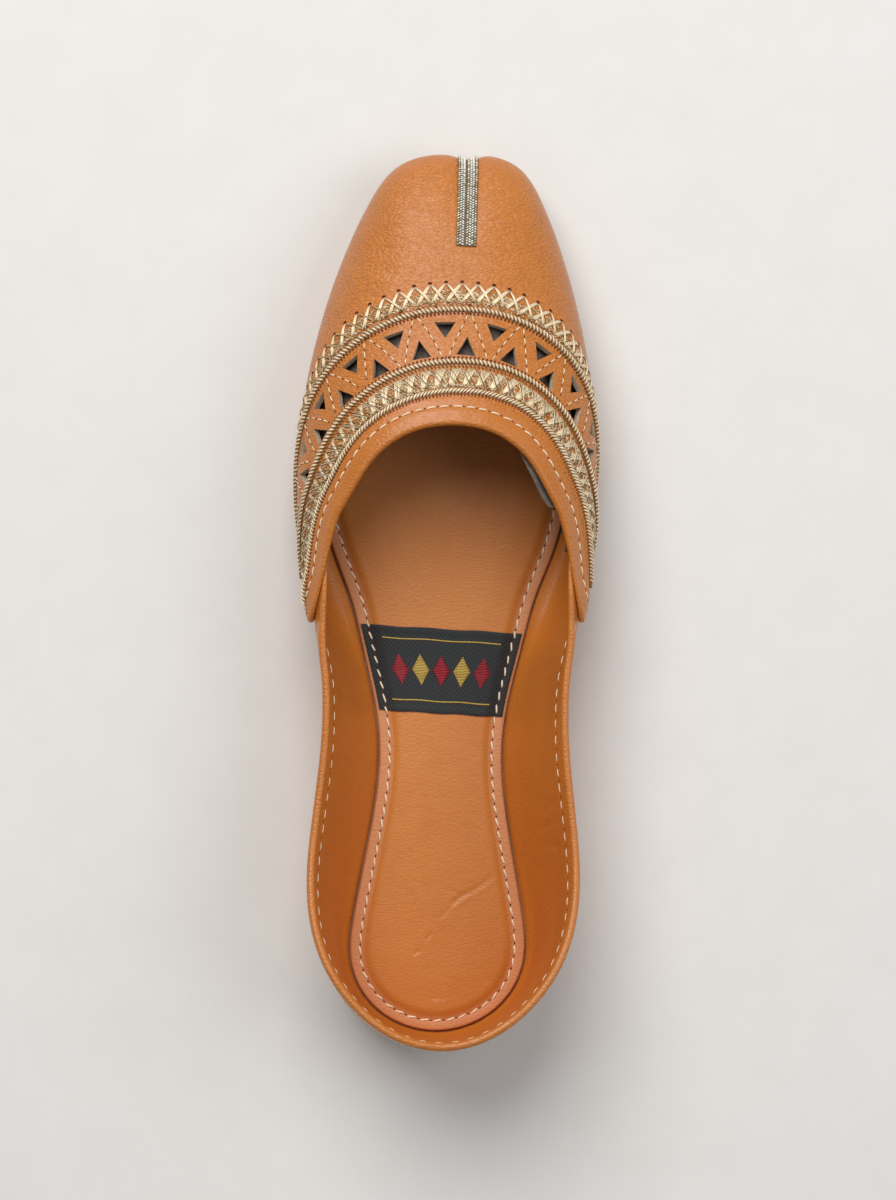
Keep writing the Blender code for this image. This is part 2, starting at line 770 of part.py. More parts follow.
def main():
    for thing in list(bpy.data.objects):
        bpy.data.objects.remove(thing, do_unlink=True)
    shoe = bpy.data.collections.new("khussa")
    cutters = bpy.data.collections.new("cutters")
    bpy.context.scene.collection.children.link(shoe)
    bpy.context.scene.collection.children.link(cutters)
    tan = make_material("tan leather", (0.50, 0.19, 0.045), 0.42)
    sole_tan = make_material("sole leather", (0.42, 0.20, 0.075), 0.60)
    lining = make_material("insole leather", (0.46, 0.17, 0.04), 0.45)
    black = make_material("black woven patch", (0.012, 0.012, 0.014), 0.80)
    silver = make_material("silver braid", (0.55, 0.50, 0.38), 0.45, 0.4)
    gold = make_material("gold cord", (0.58, 0.42, 0.20), 0.45, 0.4)
    make_outsole(shoe, sole_tan)
    make_insole(shoe, lining)
    make_insole_label(shoe, black)
    make_upper(shoe, cutters, tan)
    make_toe_braid(shoe, silver)
    make_cord("cord_rear", CORD_REAR, shoe, gold)
    make_cord("cord_middle", CORD_MIDDLE, shoe, gold)
    make_cord("cord_front", CORD_FRONT, shoe, gold)


main()
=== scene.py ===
"""The looks of a khussa: a flat South Asian slip-on shoe of tan leather, standing empty.

Metres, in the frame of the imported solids: the toe points along +Y, +X is the outer side and the
shoe stands on z = 0. Everything is laid on the same last as the solids. A place on the upper is
u, a distance round the last from the toe's centre, and d, a distance down from the top edge.
"""

import math

import bmesh
import bpy
import numpy as np
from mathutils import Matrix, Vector


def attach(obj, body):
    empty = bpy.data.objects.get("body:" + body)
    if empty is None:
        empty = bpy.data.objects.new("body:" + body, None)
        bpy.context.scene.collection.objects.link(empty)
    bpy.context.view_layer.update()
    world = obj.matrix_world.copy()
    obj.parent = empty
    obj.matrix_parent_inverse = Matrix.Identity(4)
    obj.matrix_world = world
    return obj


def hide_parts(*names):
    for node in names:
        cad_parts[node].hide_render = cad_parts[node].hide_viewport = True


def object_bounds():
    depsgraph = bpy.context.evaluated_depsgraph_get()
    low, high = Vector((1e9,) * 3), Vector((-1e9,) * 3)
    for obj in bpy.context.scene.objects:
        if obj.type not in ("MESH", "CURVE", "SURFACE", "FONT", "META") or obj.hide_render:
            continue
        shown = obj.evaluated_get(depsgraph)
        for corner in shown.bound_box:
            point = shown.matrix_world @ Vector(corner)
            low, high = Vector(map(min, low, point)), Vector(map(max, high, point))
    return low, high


# Driving sizes of the last, the same as the solids have
LENGTH = 0.2524
BALL_WIDTH = 0.0846
INSTEP_HEIGHT = 0.0455
COLLAR_HEIGHT = 0.0325
COUNTER_HEIGHT = 0.0472
TOE_SWING = 0.0038
HEEL_SWING = 0.0024
SWING_START = 0.015

# Leather
WALL = 0.0018
BINDING_WIDTH = 0.0062
RIM_BINDING_WIDTH = 0.0042
BINDING_STEP = 0.0005
WING_STEP = 0.0014
WING_FADE = 0.018

# The fold down the toe
FOLD_SIDE = 0.0027
FOLD_DEPTH = 0.0019
FOLD_WIDTH = 0.0034
FOLD_REACH = 0.030
FOLD_FOOT = 0.0038

# Sole and insole
SOLE = 0.0040
SOLE_MARGIN = 0.0012
SOLE_EDGE_ROUND = 0.0007
SOLE_BULGE = 0.00015
HEEL_LIFT = 0.0030
HEEL_BREAST = -0.060
BREAST_RUN = 0.0012
TREAD_BACK = 0.012
TREAD_FRONT = 0.078
TOE_SPRING = 0.0045
INSOLE_EDGE = 0.0014
PAD_RISE = 0.0016
PAD_SHOULDER = 0.0036
PAD_DOME = 0.0120
PAD_START = 0.0026
INSOLE_MARGIN = 0.0002
PATCH_FRONT = -0.0082
PATCH_BACK = -0.0323
PATCH_INSET = 0.0008
PATCH_SLANT = 0.060
LABEL_LINES = (0.14, 0.86)
LOZENGES = 5

# Toe braid
BRAID_WIDTH = 0.0056
BRAID_START = 0.0275
BRAID_END = 0.0020

# Openwork and cords, as distances down from the throat edge
CORD_REAR = 0.0088
CORD_MIDDLE = 0.0176
CORD_FRONT = 0.0331
CORD_END = 0.0025
INNER_PITCH = 0.0129
OUTER_PITCH = 0.0141
OPENWORK_COUNT = 15
INNER_SHIFT = 0.0029
OUTER_SHIFT = 0.0040
OUTER_TRIANGLE_BASE = 0.0060
INNER_TRIANGLE_BASE = 0.0054
OUTER_TRIANGLE_HEIGHT = 0.0048
INNER_TRIANGLE_HEIGHT = 0.0056
OUTER_TRIANGLE_BACK = 0.0271
INNER_TRIANGLE_BACK = 0.0224
CUTTER_REACH = 0.0040
BAND_TILT = 0.0020
BAND_SAG = 0.19
BAND_TURN = 1.2
CLEARANCE = 0.0003

# The last's outline and top edge, row by row from the toe to the heel, as the solids have them
STATIONS = [
    # side    along   height  lean    tuck
    (0.000,  1.000,  0.170,  0.00,  0.070),
    (0.200,  0.998,  0.170,  0.00,  0.070),
    (0.412,  0.970,  0.180,  0.00,  0.072),
    (0.577,  0.894,  0.205,  0.00,  0.075),
    (0.730,  0.774,  0.260,  0.00,  0.078),
    (0.858,  0.635,  0.320,  0.00,  0.082),
    (0.957,  0.470,  0.400,  0.00,  0.086),
    (0.998,  0.277,  0.540,  0.00,  0.104),
    (0.970,  0.115,  0.700,  0.00,  0.164),
    (0.868, -0.044,  0.780,  0.02,  0.226),
    (0.725, -0.160,  0.560,  0.30,  0.170),
    (0.648, -0.305,  0.500,  0.45,  0.178),
    (0.710, -0.505,  0.500,  0.43,  0.196),
    (0.774, -0.688,  0.520,  0.30,  0.164),
    (0.712, -0.832,  0.540,  0.14,  0.088),
    (0.470, -0.944,  0.540,  0.00,  0.046),
    (0.000, -1.000,  0.540, -0.03,  0.036),
]
TOPLINE = [
    # side    along   rise   slope   crown
    (0.000,  0.391,  1.00,   22,   0.55),
    (0.060,  0.390,  1.00,   22,   0.55),
    (0.120,  0.388,  0.99,   22,   0.55),
    (0.184,  0.384,  0.99,   23,   0.55),
    (0.264,  0.376,  0.97,   24,   0.52),
    (0.374,  0.358,  0.92,   27,   0.48),
    (0.532,  0.312,  0.80,   34,   0.42),
    (0.690,  0.228,  0.60,   46,   0.38),
    (0.802,  0.125,  0.33,   62,   0.36),
    (0.834, -0.078,  0.04,   84,   0.34),
    (0.806, -0.170,  0.00,  104,   0.34),
    (0.800, -0.305,  0.00,  112,   0.34),
    (0.862, -0.510,  0.10,  111,   0.34),
    (0.866, -0.684,  0.44,  103,   0.34),
    (0.730, -0.818,  0.76,   95,   0.34),
    (0.442, -0.925,  0.93,   89,   0.34),
    (0.000, -0.976,  1.00,   86,   0.34),
]
WING_ROW = 9
WALL_STEPS = 60
RING_HALF = 700

# The vamp's wing over the quarter, as distances ahead of the wing's end
WING_EDGE_RUN = 0.0150
WING_EDGE_DROP = 0.0068
WING_CORNER = 0.0014
WING_RAKE = 0.25
WING_CUT = 0.0086
WING_CUT_DEPTH = 0.0090
QUARTER_FRONT = 0.0240
QUARTER_TUCKED = 0.0060
QUARTER_FRONT_DROP = 0.0030
LAYER_GAP = 0.0001

# Stitches
BINDING_STITCH_IN = 0.0041
BINDING_STITCH_PITCH = 0.0036
BINDING_STITCH_LENGTH = 0.0027
RIM_STITCH_IN = 0.0036
RIM_STITCH_DROP = 0.0024
RIM_STITCH_PITCH = 0.0045
RIM_STITCH_LENGTH = 0.0027
INSOLE_STITCH_IN = 0.0028
INSOLE_STITCH_PITCH = 0.00365
INSOLE_STITCH_LENGTH = 0.0027
STITCH_RADIUS = 0.00024
ZIGZAG_PITCH = 0.00170
ZIGZAG_DEPTHS = (0.0062, 0.0096)
NEEDLE_HOLE_SUNK = 0.00005
THREAD_FOOT = 0.00005

# Embroidery: the punched holes and the pitch of what repeats along each line
HOLE_ROW = 0.0413
HOLE_PITCH = 0.00450
HOLE_SIZE = (0.00062, 0.00050)
CORD_STITCH_PITCH = 0.00112
REAR_STITCH_PITCH = 0.00100
REAR_BAND_PITCH = 0.00440
OPENWORK_STITCH_PITCH = 0.0029
SEAM_APART = (0.00070, 0.00125)
LINING_PEEP = 0.0024
LINING_THICKNESS = 0.0003

# Couching: shares of pale, gold and dark dashes, and their pitch
COUCHING_SHARES = (0.30, 0.25, 0.25)
COUCHING_PITCH = 0.00062

# Runs at which the bundles of a band change their look
FRONT_BAND_CHANGE = -0.022
REAR_BAND_CHANGE = -0.030

# Swell of a wall's rolled edge
RIM_SWELL = 1.06
BEAD_TURNS = (12, 34, 56, 78, 102, 124, 146, 168)
BEAD_POINTS = len(BEAD_TURNS)

# Rows of a wall that are its folded binding, outside and inside
BINDING_ROWS = 14
BINDING_INNER_ROWS = 10
RIM_BINDING_ROWS = 11

# Angles over which an edge stays sharp, in degrees
SHARP = 50
OPENWORK_SHARP = 48
SOFT_SHARP = 60

# Camera of the photograph, in metres and pixels
CAMERA_AT = (-0.046, -0.00425, 1.2)
PHOTO_HEIGHT = 1200
PHOTO_FOCUS = 4189
SENSOR_HEIGHT = 24.0
WORLD_STRENGTH = 0.24
FLOOR_HALF = 4.0
LIGHTS = (
    # place                  size   power  colour
    ((-0.35, 0.95, 1.35), 1.3, 23.8, (1.0, 0.99, 0.97)),
    ((1.00, 0.10, 1.20), 1.2, 6.4, (0.98, 0.985, 1.0)),
)


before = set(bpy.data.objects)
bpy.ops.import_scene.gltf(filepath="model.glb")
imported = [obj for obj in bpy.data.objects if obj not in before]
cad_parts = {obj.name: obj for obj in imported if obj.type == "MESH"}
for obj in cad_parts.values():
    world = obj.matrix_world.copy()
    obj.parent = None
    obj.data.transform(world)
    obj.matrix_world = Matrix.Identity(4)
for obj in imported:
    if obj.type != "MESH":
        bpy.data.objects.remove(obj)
cad_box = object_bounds()


# The last

def smooth_step(x):
    """A soft rise from 0 to 1."""
    x = np.clip(x, 0.0, 1.0)
    return x * x * (3.0 - 2.0 * x)


def unit(vectors):
    """Vectors of length 1."""
    return vectors / np.linalg.norm(vectors, axis=-1, keepdims=True)


def run_along(points):
    """Distance along a line at each of its points."""
    return np.concatenate([[0.0], np.cumsum(np.linalg.norm(np.diff(points, axis=0), axis=1))])


def read_line(values, run, stops):
    """Values of a line's points at given distances along it."""
    return np.stack([np.interp(stops, run, values[:, k]) for k in range(3)], axis=-1)


def signed(u):
    """The same place with the inner side negative."""
    return np.mod(np.asarray(u, float) + ROUND / 2, ROUND) - ROUND / 2


def closed_spline(knots, rows):
    """Return a function through the rows that is smooth all the way round."""
    count = len(rows)
    gap = np.diff(knots)
    slope = (np.roll(rows, -1, axis=0) - rows) / gap[:, None]
    system = np.zeros((count, count))
    for i in range(count):
        system[i, i - 1] += gap[i - 1]
        system[i, i] += 2.0 * (gap[i - 1] + gap[i])
        system[i, (i + 1) % count] += gap[i]
    bend = np.linalg.solve(system, 6.0 * (slope - np.roll(slope, 1, axis=0)))
    next_rows = np.roll(rows, -1, axis=0)
    next_bend = np.roll(bend, -1, axis=0)

    def at(u):
        u = np.mod(np.atleast_1d(u), knots[-1])
        i = np.clip(np.searchsorted(knots, u, side="right") - 1, 0, count - 1)
        width = gap[i][:, None]
        after = (u - knots[i])[:, None] / width
        before = 1.0 - after
        curve = (before**3 - before) * bend[i] + (after**3 - after) * next_bend[i]
        return before * rows[i] + after * next_rows[i] + curve * width**2 / 6.0

    return at


def station_values():
    """All columns of both tables in metres and radians, for both sides of the shoe."""
    base = np.array(STATIONS)
    top = np.array(TOPLINE)
    half_width = BALL_WIDTH / 2
    half_length = LENGTH / 2
    peak = np.where(np.arange(len(base)) <= WING_ROW, INSTEP_HEIGHT, COUNTER_HEIGHT)
    rows = np.column_stack([
        base[:, 0] * half_width,
        base[:, 1] * half_length,
        base[:, 2] * COLLAR_HEIGHT,
        base[:, 3],
        base[:, 4] * half_width,
        top[:, 0] * half_width,
        top[:, 1] * half_length,
        COLLAR_HEIGHT + top[:, 2] * (peak - COLLAR_HEIGHT),
        np.radians(top[:, 3]),
        top[:, 4],
    ])
    inner = rows[-2:0:-1].copy()
    inner[:, [0, 5]] *= -1.0
    return np.vstack([rows, inner])


ALL_ROWS = station_values()
STEP_LENGTHS = np.linalg.norm(np.roll(ALL_ROWS[:, :2], -1, axis=0) - ALL_ROWS[:, :2], axis=1)
KNOTS = np.concatenate([[0.0], np.cumsum(STEP_LENGTHS)])
ROUND = KNOTS[-1]
LAST = closed_spline(KNOTS, ALL_ROWS)
WING_AT = KNOTS[WING_ROW]
NUDGE = ROUND * 1e-4


def band_distance(base, u):
    """Distance down from the throat edge of a line of the embroidery, which tilts and sags."""
    turn = np.sin(BAND_TURN * signed(u) / WING_AT)
    return base + BAND_TILT * turn - BAND_SAG * (base - CORD_REAR) * turn**2


def swing(along):
    """Sideways shift of the centre line: the toe leans out and the heel a little in."""
    half_length = LENGTH / 2
    front = np.clip((along - SWING_START) / (half_length - SWING_START), 0.0, None)
    back = np.clip((SWING_START - along) / (half_length + SWING_START), 0.0, None)
    return TOE_SWING * front**1.5 - HEEL_SWING * back


def bottom_rise(along):
    """Height of the sole's bend above the floor: waist behind the tread, spring before it."""
    waist = smooth_step((TREAD_BACK - along) / (TREAD_BACK - HEEL_BREAST))
    toe = np.clip((along - TREAD_FRONT) / (LENGTH / 2 - TREAD_FRONT), 0.0, None)
    return HEEL_LIFT * waist + TOE_SPRING * toe**2


def seat_height(along):
    """Top of the outsole."""
    return SOLE + bottom_rise(along)


def side_of(ahead):
    """Unit vectors in plan to the left of a clockwise run, which point out of the shoe."""
    return unit(np.stack([-ahead[:, 1], ahead[:, 0]], axis=1))


def plan_normals(u, columns):
    """Outward plan normals of the outline or of the top edge at each u."""
    return side_of(LAST(u + NUDGE)[:, columns] - LAST(u - NUDGE)[:, columns])


def bezier(p0, p1, p2, p3, t):
    """Points of many cubic curves at the same shares t."""
    t = t[None, :, None]
    s = 1.0 - t
    p0, p1, p2, p3 = (p[:, None, :] for p in (p0, p1, p2, p3))
    return s**3 * p0 + 3 * s**2 * t * p1 + 3 * s * t**2 * p2 + t**3 * p3


def wall_lines(u):
    """Dense lines down the wall, from the top edge to the feather edge, one for each u."""
    side, along, height, lean, tuck, top_side, top_along, top_height, slope, crown = LAST(u).T
    flat = np.zeros(len(u))
    normal = plan_normals(u, [0, 1])
    out = np.column_stack([normal, flat])
    away = np.column_stack([plan_normals(u, [5, 6]), flat])
    up = np.array([[0.0, 0.0, 1.0]])
    foot_plan = np.column_stack([side, along]) - tuck[:, None] * normal
    feather = np.column_stack([foot_plan, seat_height(foot_plan[:, 1]) + CLEARANCE])
    outline = np.column_stack([side, along, seat_height(along) + height])
    top = np.column_stack([top_side, top_along, seat_height(top_along) + top_height])
    rising = up + lean[:, None] * out
    hollow = np.clip(lean / 0.45, 0.0, 1.0)[:, None]
    low = (outline[:, 2] - feather[:, 2])[:, None]
    foot = feather + out * tuck[:, None] * (0.76 - 0.42 * hollow) + up * low * 0.30 * hollow
    knee = outline - rising * low * (0.50 - 0.16 * hollow)
    shoulder = outline + rising * (top[:, 2] - outline[:, 2])[:, None] * 0.46
    reach = np.linalg.norm(top - outline, axis=1)[:, None]
    leaving = away * np.cos(slope)[:, None] - up * np.sin(slope)[:, None]
    brow = top + leaving * reach * crown[:, None]
    t = np.linspace(0.0, 1.0, WALL_STEPS)
    lines = np.concatenate([
        bezier(top, brow, shoulder, outline, t),
        bezier(outline, knee, foot, feather, t)[:, 1:],
    ], axis=1)
    lines[:, :, 0] += swing(lines[:, :, 1])
    return lines


class Skin:
    """The last's outer face, sampled once and read smoothly between the samples."""

    COLUMNS = 1500
    STEP = 0.0004

    def __init__(self):
        self.u = np.arange(self.COLUMNS) * ROUND / self.COLUMNS
        lines = wall_lines(self.u)
        steps = np.linalg.norm(np.diff(lines, axis=1), axis=2)
        run = np.concatenate([np.zeros((len(steps), 1)), np.cumsum(steps, axis=1)], axis=1)
        self.length = run[:, -1]
        stops = np.arange(0.0, self.length.max() + 2 * self.STEP, self.STEP)
        self.points = np.empty((self.COLUMNS, len(stops), 3))
        for i in range(self.COLUMNS):
            reach = np.minimum(stops, self.length[i])
            for k in range(3):
                self.points[i, :, k] = np.interp(reach, run[i], lines[i, :, k])
        round_step = np.roll(self.points, -1, axis=0) - np.roll(self.points, 1, axis=0)
        last = np.clip((self.length / self.STEP).astype(int), 2, len(stops) - 2)
        down_step = np.gradient(self.points, axis=1)
        for i in range(self.COLUMNS):
            down_step[i, last[i]:] = down_step[i, last[i] - 1]
            round_step[i, last[i] + 1:] = round_step[i, last[i]]
        self.down = unit(down_step)
        self.normal = unit(np.cross(round_step, down_step))
        self.rings = {}

    def read(self, table, u, d):
        """Values of a table at places (u, d)."""
        u, d = np.broadcast_arrays(np.asarray(u, float), np.asarray(d, float))
        column = np.mod(u, ROUND) / ROUND * self.COLUMNS
        row = np.clip(d / self.STEP, 0.0, table.shape[1] - 1.001)
        i = column.astype(int) % self.COLUMNS
        j = row.astype(int)
        a = (column - np.floor(column))[..., None]
        b = (row - j)[..., None]
        k = (i + 1) % self.COLUMNS
        near = table[i, j] * (1 - a) + table[k, j] * a
        far = table[i, j + 1] * (1 - a) + table[k, j + 1] * a
        return near * (1 - b) + far * b

    def at(self, u, d):
        """Points and unit normals of the plain last."""
        return self.read(self.points, u, d), unit(self.read(self.normal, u, d))

    def down_at(self, u, d):
        """Unit direction down the wall."""
        return unit(self.read(self.down, u, d))

    def wall_length(self, u):
        """Distance from the top edge to the feather edge."""
        return np.interp(np.mod(u, ROUND), np.append(self.u, ROUND),
                         np.append(self.length, self.length[0]))

    def ring(self, base):
        """Places along a line of the embroidery, and the run along them from the toe's centre."""
        key = round(base * 1e6)
        if key not in self.rings:
            u = np.linspace(-WING_AT, WING_AT, 2 * RING_HALF + 1)
            points = self.read(self.points, u, band_distance(base, u))
            run = run_along(points)
            self.rings[key] = (u, run - run[RING_HALF])
        return self.rings[key]

    def place(self, base, run):
        """The u at a run along a line of the embroidery."""
        u, along = self.ring(base)
        return np.interp(run, along, u)

    def ends(self, base):
        """Runs at the two ends of a line."""
        u, along = self.ring(base)
        return along[0], along[-1]


SKIN = Skin()


def ahead_of_wing(u):
    """Distance along the outline ahead of the nearer wing end."""
    return WING_AT - np.abs(signed(u))


def wing_lift(u):
    """Extra height where the vamp's wing lies over the quarter."""
    return WING_STEP * (1.0 - smooth_step(ahead_of_wing(u) / WING_FADE))


def wing_edge(u):
    """How far the vamp's edge has come down the wall near the wing's corner."""
    share = np.clip(1.0 - ahead_of_wing(u) / WING_EDGE_RUN, 0.0, 1.0)
    return WING_EDGE_DROP * share**1.7


def wing_rear(depth):
    """Place of the wing's rear edge, which slants forward, at a depth under the top edge."""
    corner = np.clip(1.0 - depth / WING_CORNER, 0.0, 1.0)
    rounding = WING_CORNER * (1.0 - np.sqrt(1.0 - corner**2))
    slant = WING_RAKE * depth + WING_CUT * (1.0 - np.exp(-depth / WING_CUT_DEPTH))
    return WING_AT - rounding - slant


def quarter_drop(ahead):
    """How far the quarter's rim has come down where it runs under the wing."""
    return QUARTER_FRONT_DROP * smooth_step((ahead - 0.008) / (QUARTER_FRONT - 0.008))


def tucked(ahead):
    """How far the quarter has come inward to lie under the wing, from 0 to 1."""
    return smooth_step((ahead - QUARTER_TUCKED) / (QUARTER_FRONT + 0.002 - QUARTER_TUCKED))


def within(u, d, side_room=0.0016, foot_room=0.0012):
    """Whether places lie on the vamp, clear of its rear edge and of the sole."""
    depth = np.maximum(d - wing_edge(u), 0.0)
    inside = np.abs(signed(u)) < wing_rear(depth) - side_room
    return inside & (d < SKIN.wall_length(u) - foot_room)


# Creases of the vamp in plan: start, end, bow, width and depth
VAMP_CREASES = [
    ((0.0035, 0.1005), (0.0078, 0.0962), 0.0004, 0.00050, 0.00014),
    ((0.0062, 0.1022), (0.0108, 0.0958), -0.0004, 0.00050, 0.00016),
    ((0.0085, 0.1020), (0.0132, 0.0968), -0.0003, 0.00055, 0.00012),
    ((-0.0030, 0.0990), (0.0005, 0.0955), 0.0003, 0.00050, 0.00008),
    ((0.0020, 0.0935), (0.0085, 0.0918), 0.0003, 0.00070, 0.00007),
]


def fold_dent(points):
    """Depth of the fold that runs down the toe and dies out just over the sole."""
    side = points[..., 0] - swing(points[..., 1]) - FOLD_SIDE
    reach = LENGTH / 2 - points[..., 1]
    fade = 1.0 - smooth_step(reach / FOLD_REACH)
    foot = smooth_step((points[..., 2] - seat_height(points[..., 1]) - CLEARANCE) / FOLD_FOOT)
    return FOLD_DEPTH * np.exp(-((side / FOLD_WIDTH) ** 2)) * fade * foot


def groove(distance, width):
    """A soft trough: 1 on its line and 0 beyond its width."""
    return np.exp(-((distance / width) ** 2))


def crease_relief(x, y, creases):
    """Soft troughs with a low ridge beside them, each from a start to an end in plan."""
    total = np.zeros(np.shape(x))
    for start, end, bow, width, depth in creases:
        a = np.array(start)
        b = np.array(end)
        length = np.linalg.norm(b - a)
        ahead = (b - a) / length
        along = ((x - a[0]) * ahead[0] + (y - a[1]) * ahead[1]) / length
        across = (y - a[1]) * ahead[0] - (x - a[0]) * ahead[1]
        across = across - bow * 4.0 * along * (1.0 - along)
        fade = smooth_step(along / 0.25) * smooth_step((1.0 - along) / 0.25)
        total -= depth * fade * (groove(across, width) - 0.25 * groove(across - 1.7 * width, width))
    return total


def vamp_relief(u, d):
    """Height of the vamp's finished face over the plain last."""
    depth = d - wing_edge(u)
    step = BINDING_STEP * (1.0 - smooth_step((depth - BINDING_WIDTH) / 0.0002))
    puff = 0.00012 * groove(depth - 0.0022, 0.0012)
    seam = 0.00016 * groove(depth - BINDING_STITCH_IN, 0.00045)
    return wing_lift(u) + step + puff - seam


def on_vamp(u, d, height=0.0):
    """Points and normals at a height over the vamp's finished face."""
    points, normals = SKIN.at(u, d)
    rise = vamp_relief(u, d) - fold_dent(points) + height
    rise = rise + crease_relief(points[..., 0], points[..., 1], VAMP_CREASES)
    return points + normals * rise[..., None], normals


# Meshes

def add_object(name, data):
    """A new object in the scene."""
    thing = bpy.data.objects.new(name, data)
    bpy.context.scene.collection.objects.link(thing)
    return thing


def new_piece(name, verts, faces, materials, replaces=(), marks=None):
    """A named mesh that rides on the shoe."""
    mesh = bpy.data.meshes.new(name)
    mesh.from_pydata(np.asarray(verts).reshape(-1, 3).tolist(), [], faces)
    for material in materials:
        mesh.materials.append(material)
    if marks is not None:
        mesh.polygons.foreach_set("material_index", np.asarray(marks, dtype=np.int32))
    mesh.shade_smooth()
    piece = add_object(name, mesh)
    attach(piece, "root")
    if replaces:
        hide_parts(*replaces)
    return piece


def point_outward(piece, sharp=None):
    """Turn a closed mesh's faces outward, and keep the edges over an angle sharp."""
    work = bmesh.new()
    work.from_mesh(piece.data)
    bmesh.ops.recalc_face_normals(work, faces=work.faces)
    if work.calc_volume(signed=True) < 0.0:
        bmesh.ops.reverse_faces(work, faces=work.faces)
    work.to_mesh(piece.data)
    work.free()
    if sharp is not None:
        piece.data.set_sharp_from_angle(angle=math.radians(sharp))


def grid_faces(rows, columns, wrap=False):
    """Quads of a grid of points whose column number runs fastest."""
    i = np.arange(rows - 1)[:, None]
    j = np.arange(columns if wrap else columns - 1)[None, :]
    nxt = (j + 1) % columns
    faces = np.stack(np.broadcast_arrays(i * columns + j, i * columns + nxt,
                                         (i + 1) * columns + nxt, (i + 1) * columns + j), axis=-1)
    return faces.reshape(-1, 4)


def sheet_piece(name, face, back, material, replaces=()):
    """A closed thin sheet from two grids of points, its upper and its under face."""
    rows, columns = face.shape[:2]
    quads = grid_faces(rows, columns)
    offset = rows * columns
    faces = quads.tolist() + (quads[:, ::-1] + offset).tolist()
    rim = list(range(columns)) + [r * columns + columns - 1 for r in range(1, rows)]
    rim += [(rows - 1) * columns + c for c in range(columns - 2, -1, -1)]
    rim += [r * columns for r in range(rows - 2, 0, -1)]
    for a, b in zip(rim, rim[1:] + rim[:1]):
        faces.append([b, a, a + offset, b + offset])
    verts = np.concatenate([face.reshape(-1, 3), back.reshape(-1, 3)])
    point_outward(new_piece(name, verts, faces, [material], replaces), SHARP)


class Threads:
    """Many small tubes that are made into one mesh."""

    def __init__(self, sides=6):
        self.sides = sides
        self.verts = []
        self.faces = []
        self.count = 0

    def add(self, points, normals, radius, flat=1.0):
        """Tubes through points of shape (tubes, points, 3), flattened along the normals."""
        points, normals = np.broadcast_arrays(points, normals)
        tubes, steps = points.shape[:2]
        if tubes == 0:
            return
        ahead = unit(np.gradient(points, axis=1))
        side = unit(np.cross(ahead, normals))
        up = np.cross(side, ahead)
        radius = np.broadcast_to(radius, (tubes, steps))[:, :, None, None]
        turn = np.linspace(0.0, 2 * math.pi, self.sides, endpoint=False)[None, None, :, None]
        ring = np.cos(turn) * side[:, :, None] + flat * np.sin(turn) * up[:, :, None]
        self.verts.append((points[:, :, None] + radius * ring).reshape(-1, 3))
        quads = grid_faces(steps, self.sides, wrap=True)[:, ::-1]
        start = list(range(self.sides))
        end = [(steps - 1) * self.sides + k for k in start][::-1]
        for tube in range(tubes):
            first = self.count + tube * steps * self.sides
            self.faces += (quads + first).tolist()
            self.faces.append([first + k for k in start])
            self.faces.append([first + k for k in end])
        self.count += tubes * steps * self.sides

    def piece(self, name, material, slot="gold_cord", replaces=()):
        return new_piece(name, np.vstack(self.verts), self.faces, [material], replaces)


def stitch_shape(count=7):
    """Shares along a stitch, how high it stands and how thick it is at each."""
    t = np.linspace(0.0, 1.0, count)
    arch = np.sin(math.pi * t) ** 0.5
    thick = 0.45 + 0.55 * np.sin(math.pi * t) ** 0.35
    return t, arch, thick


# Materials

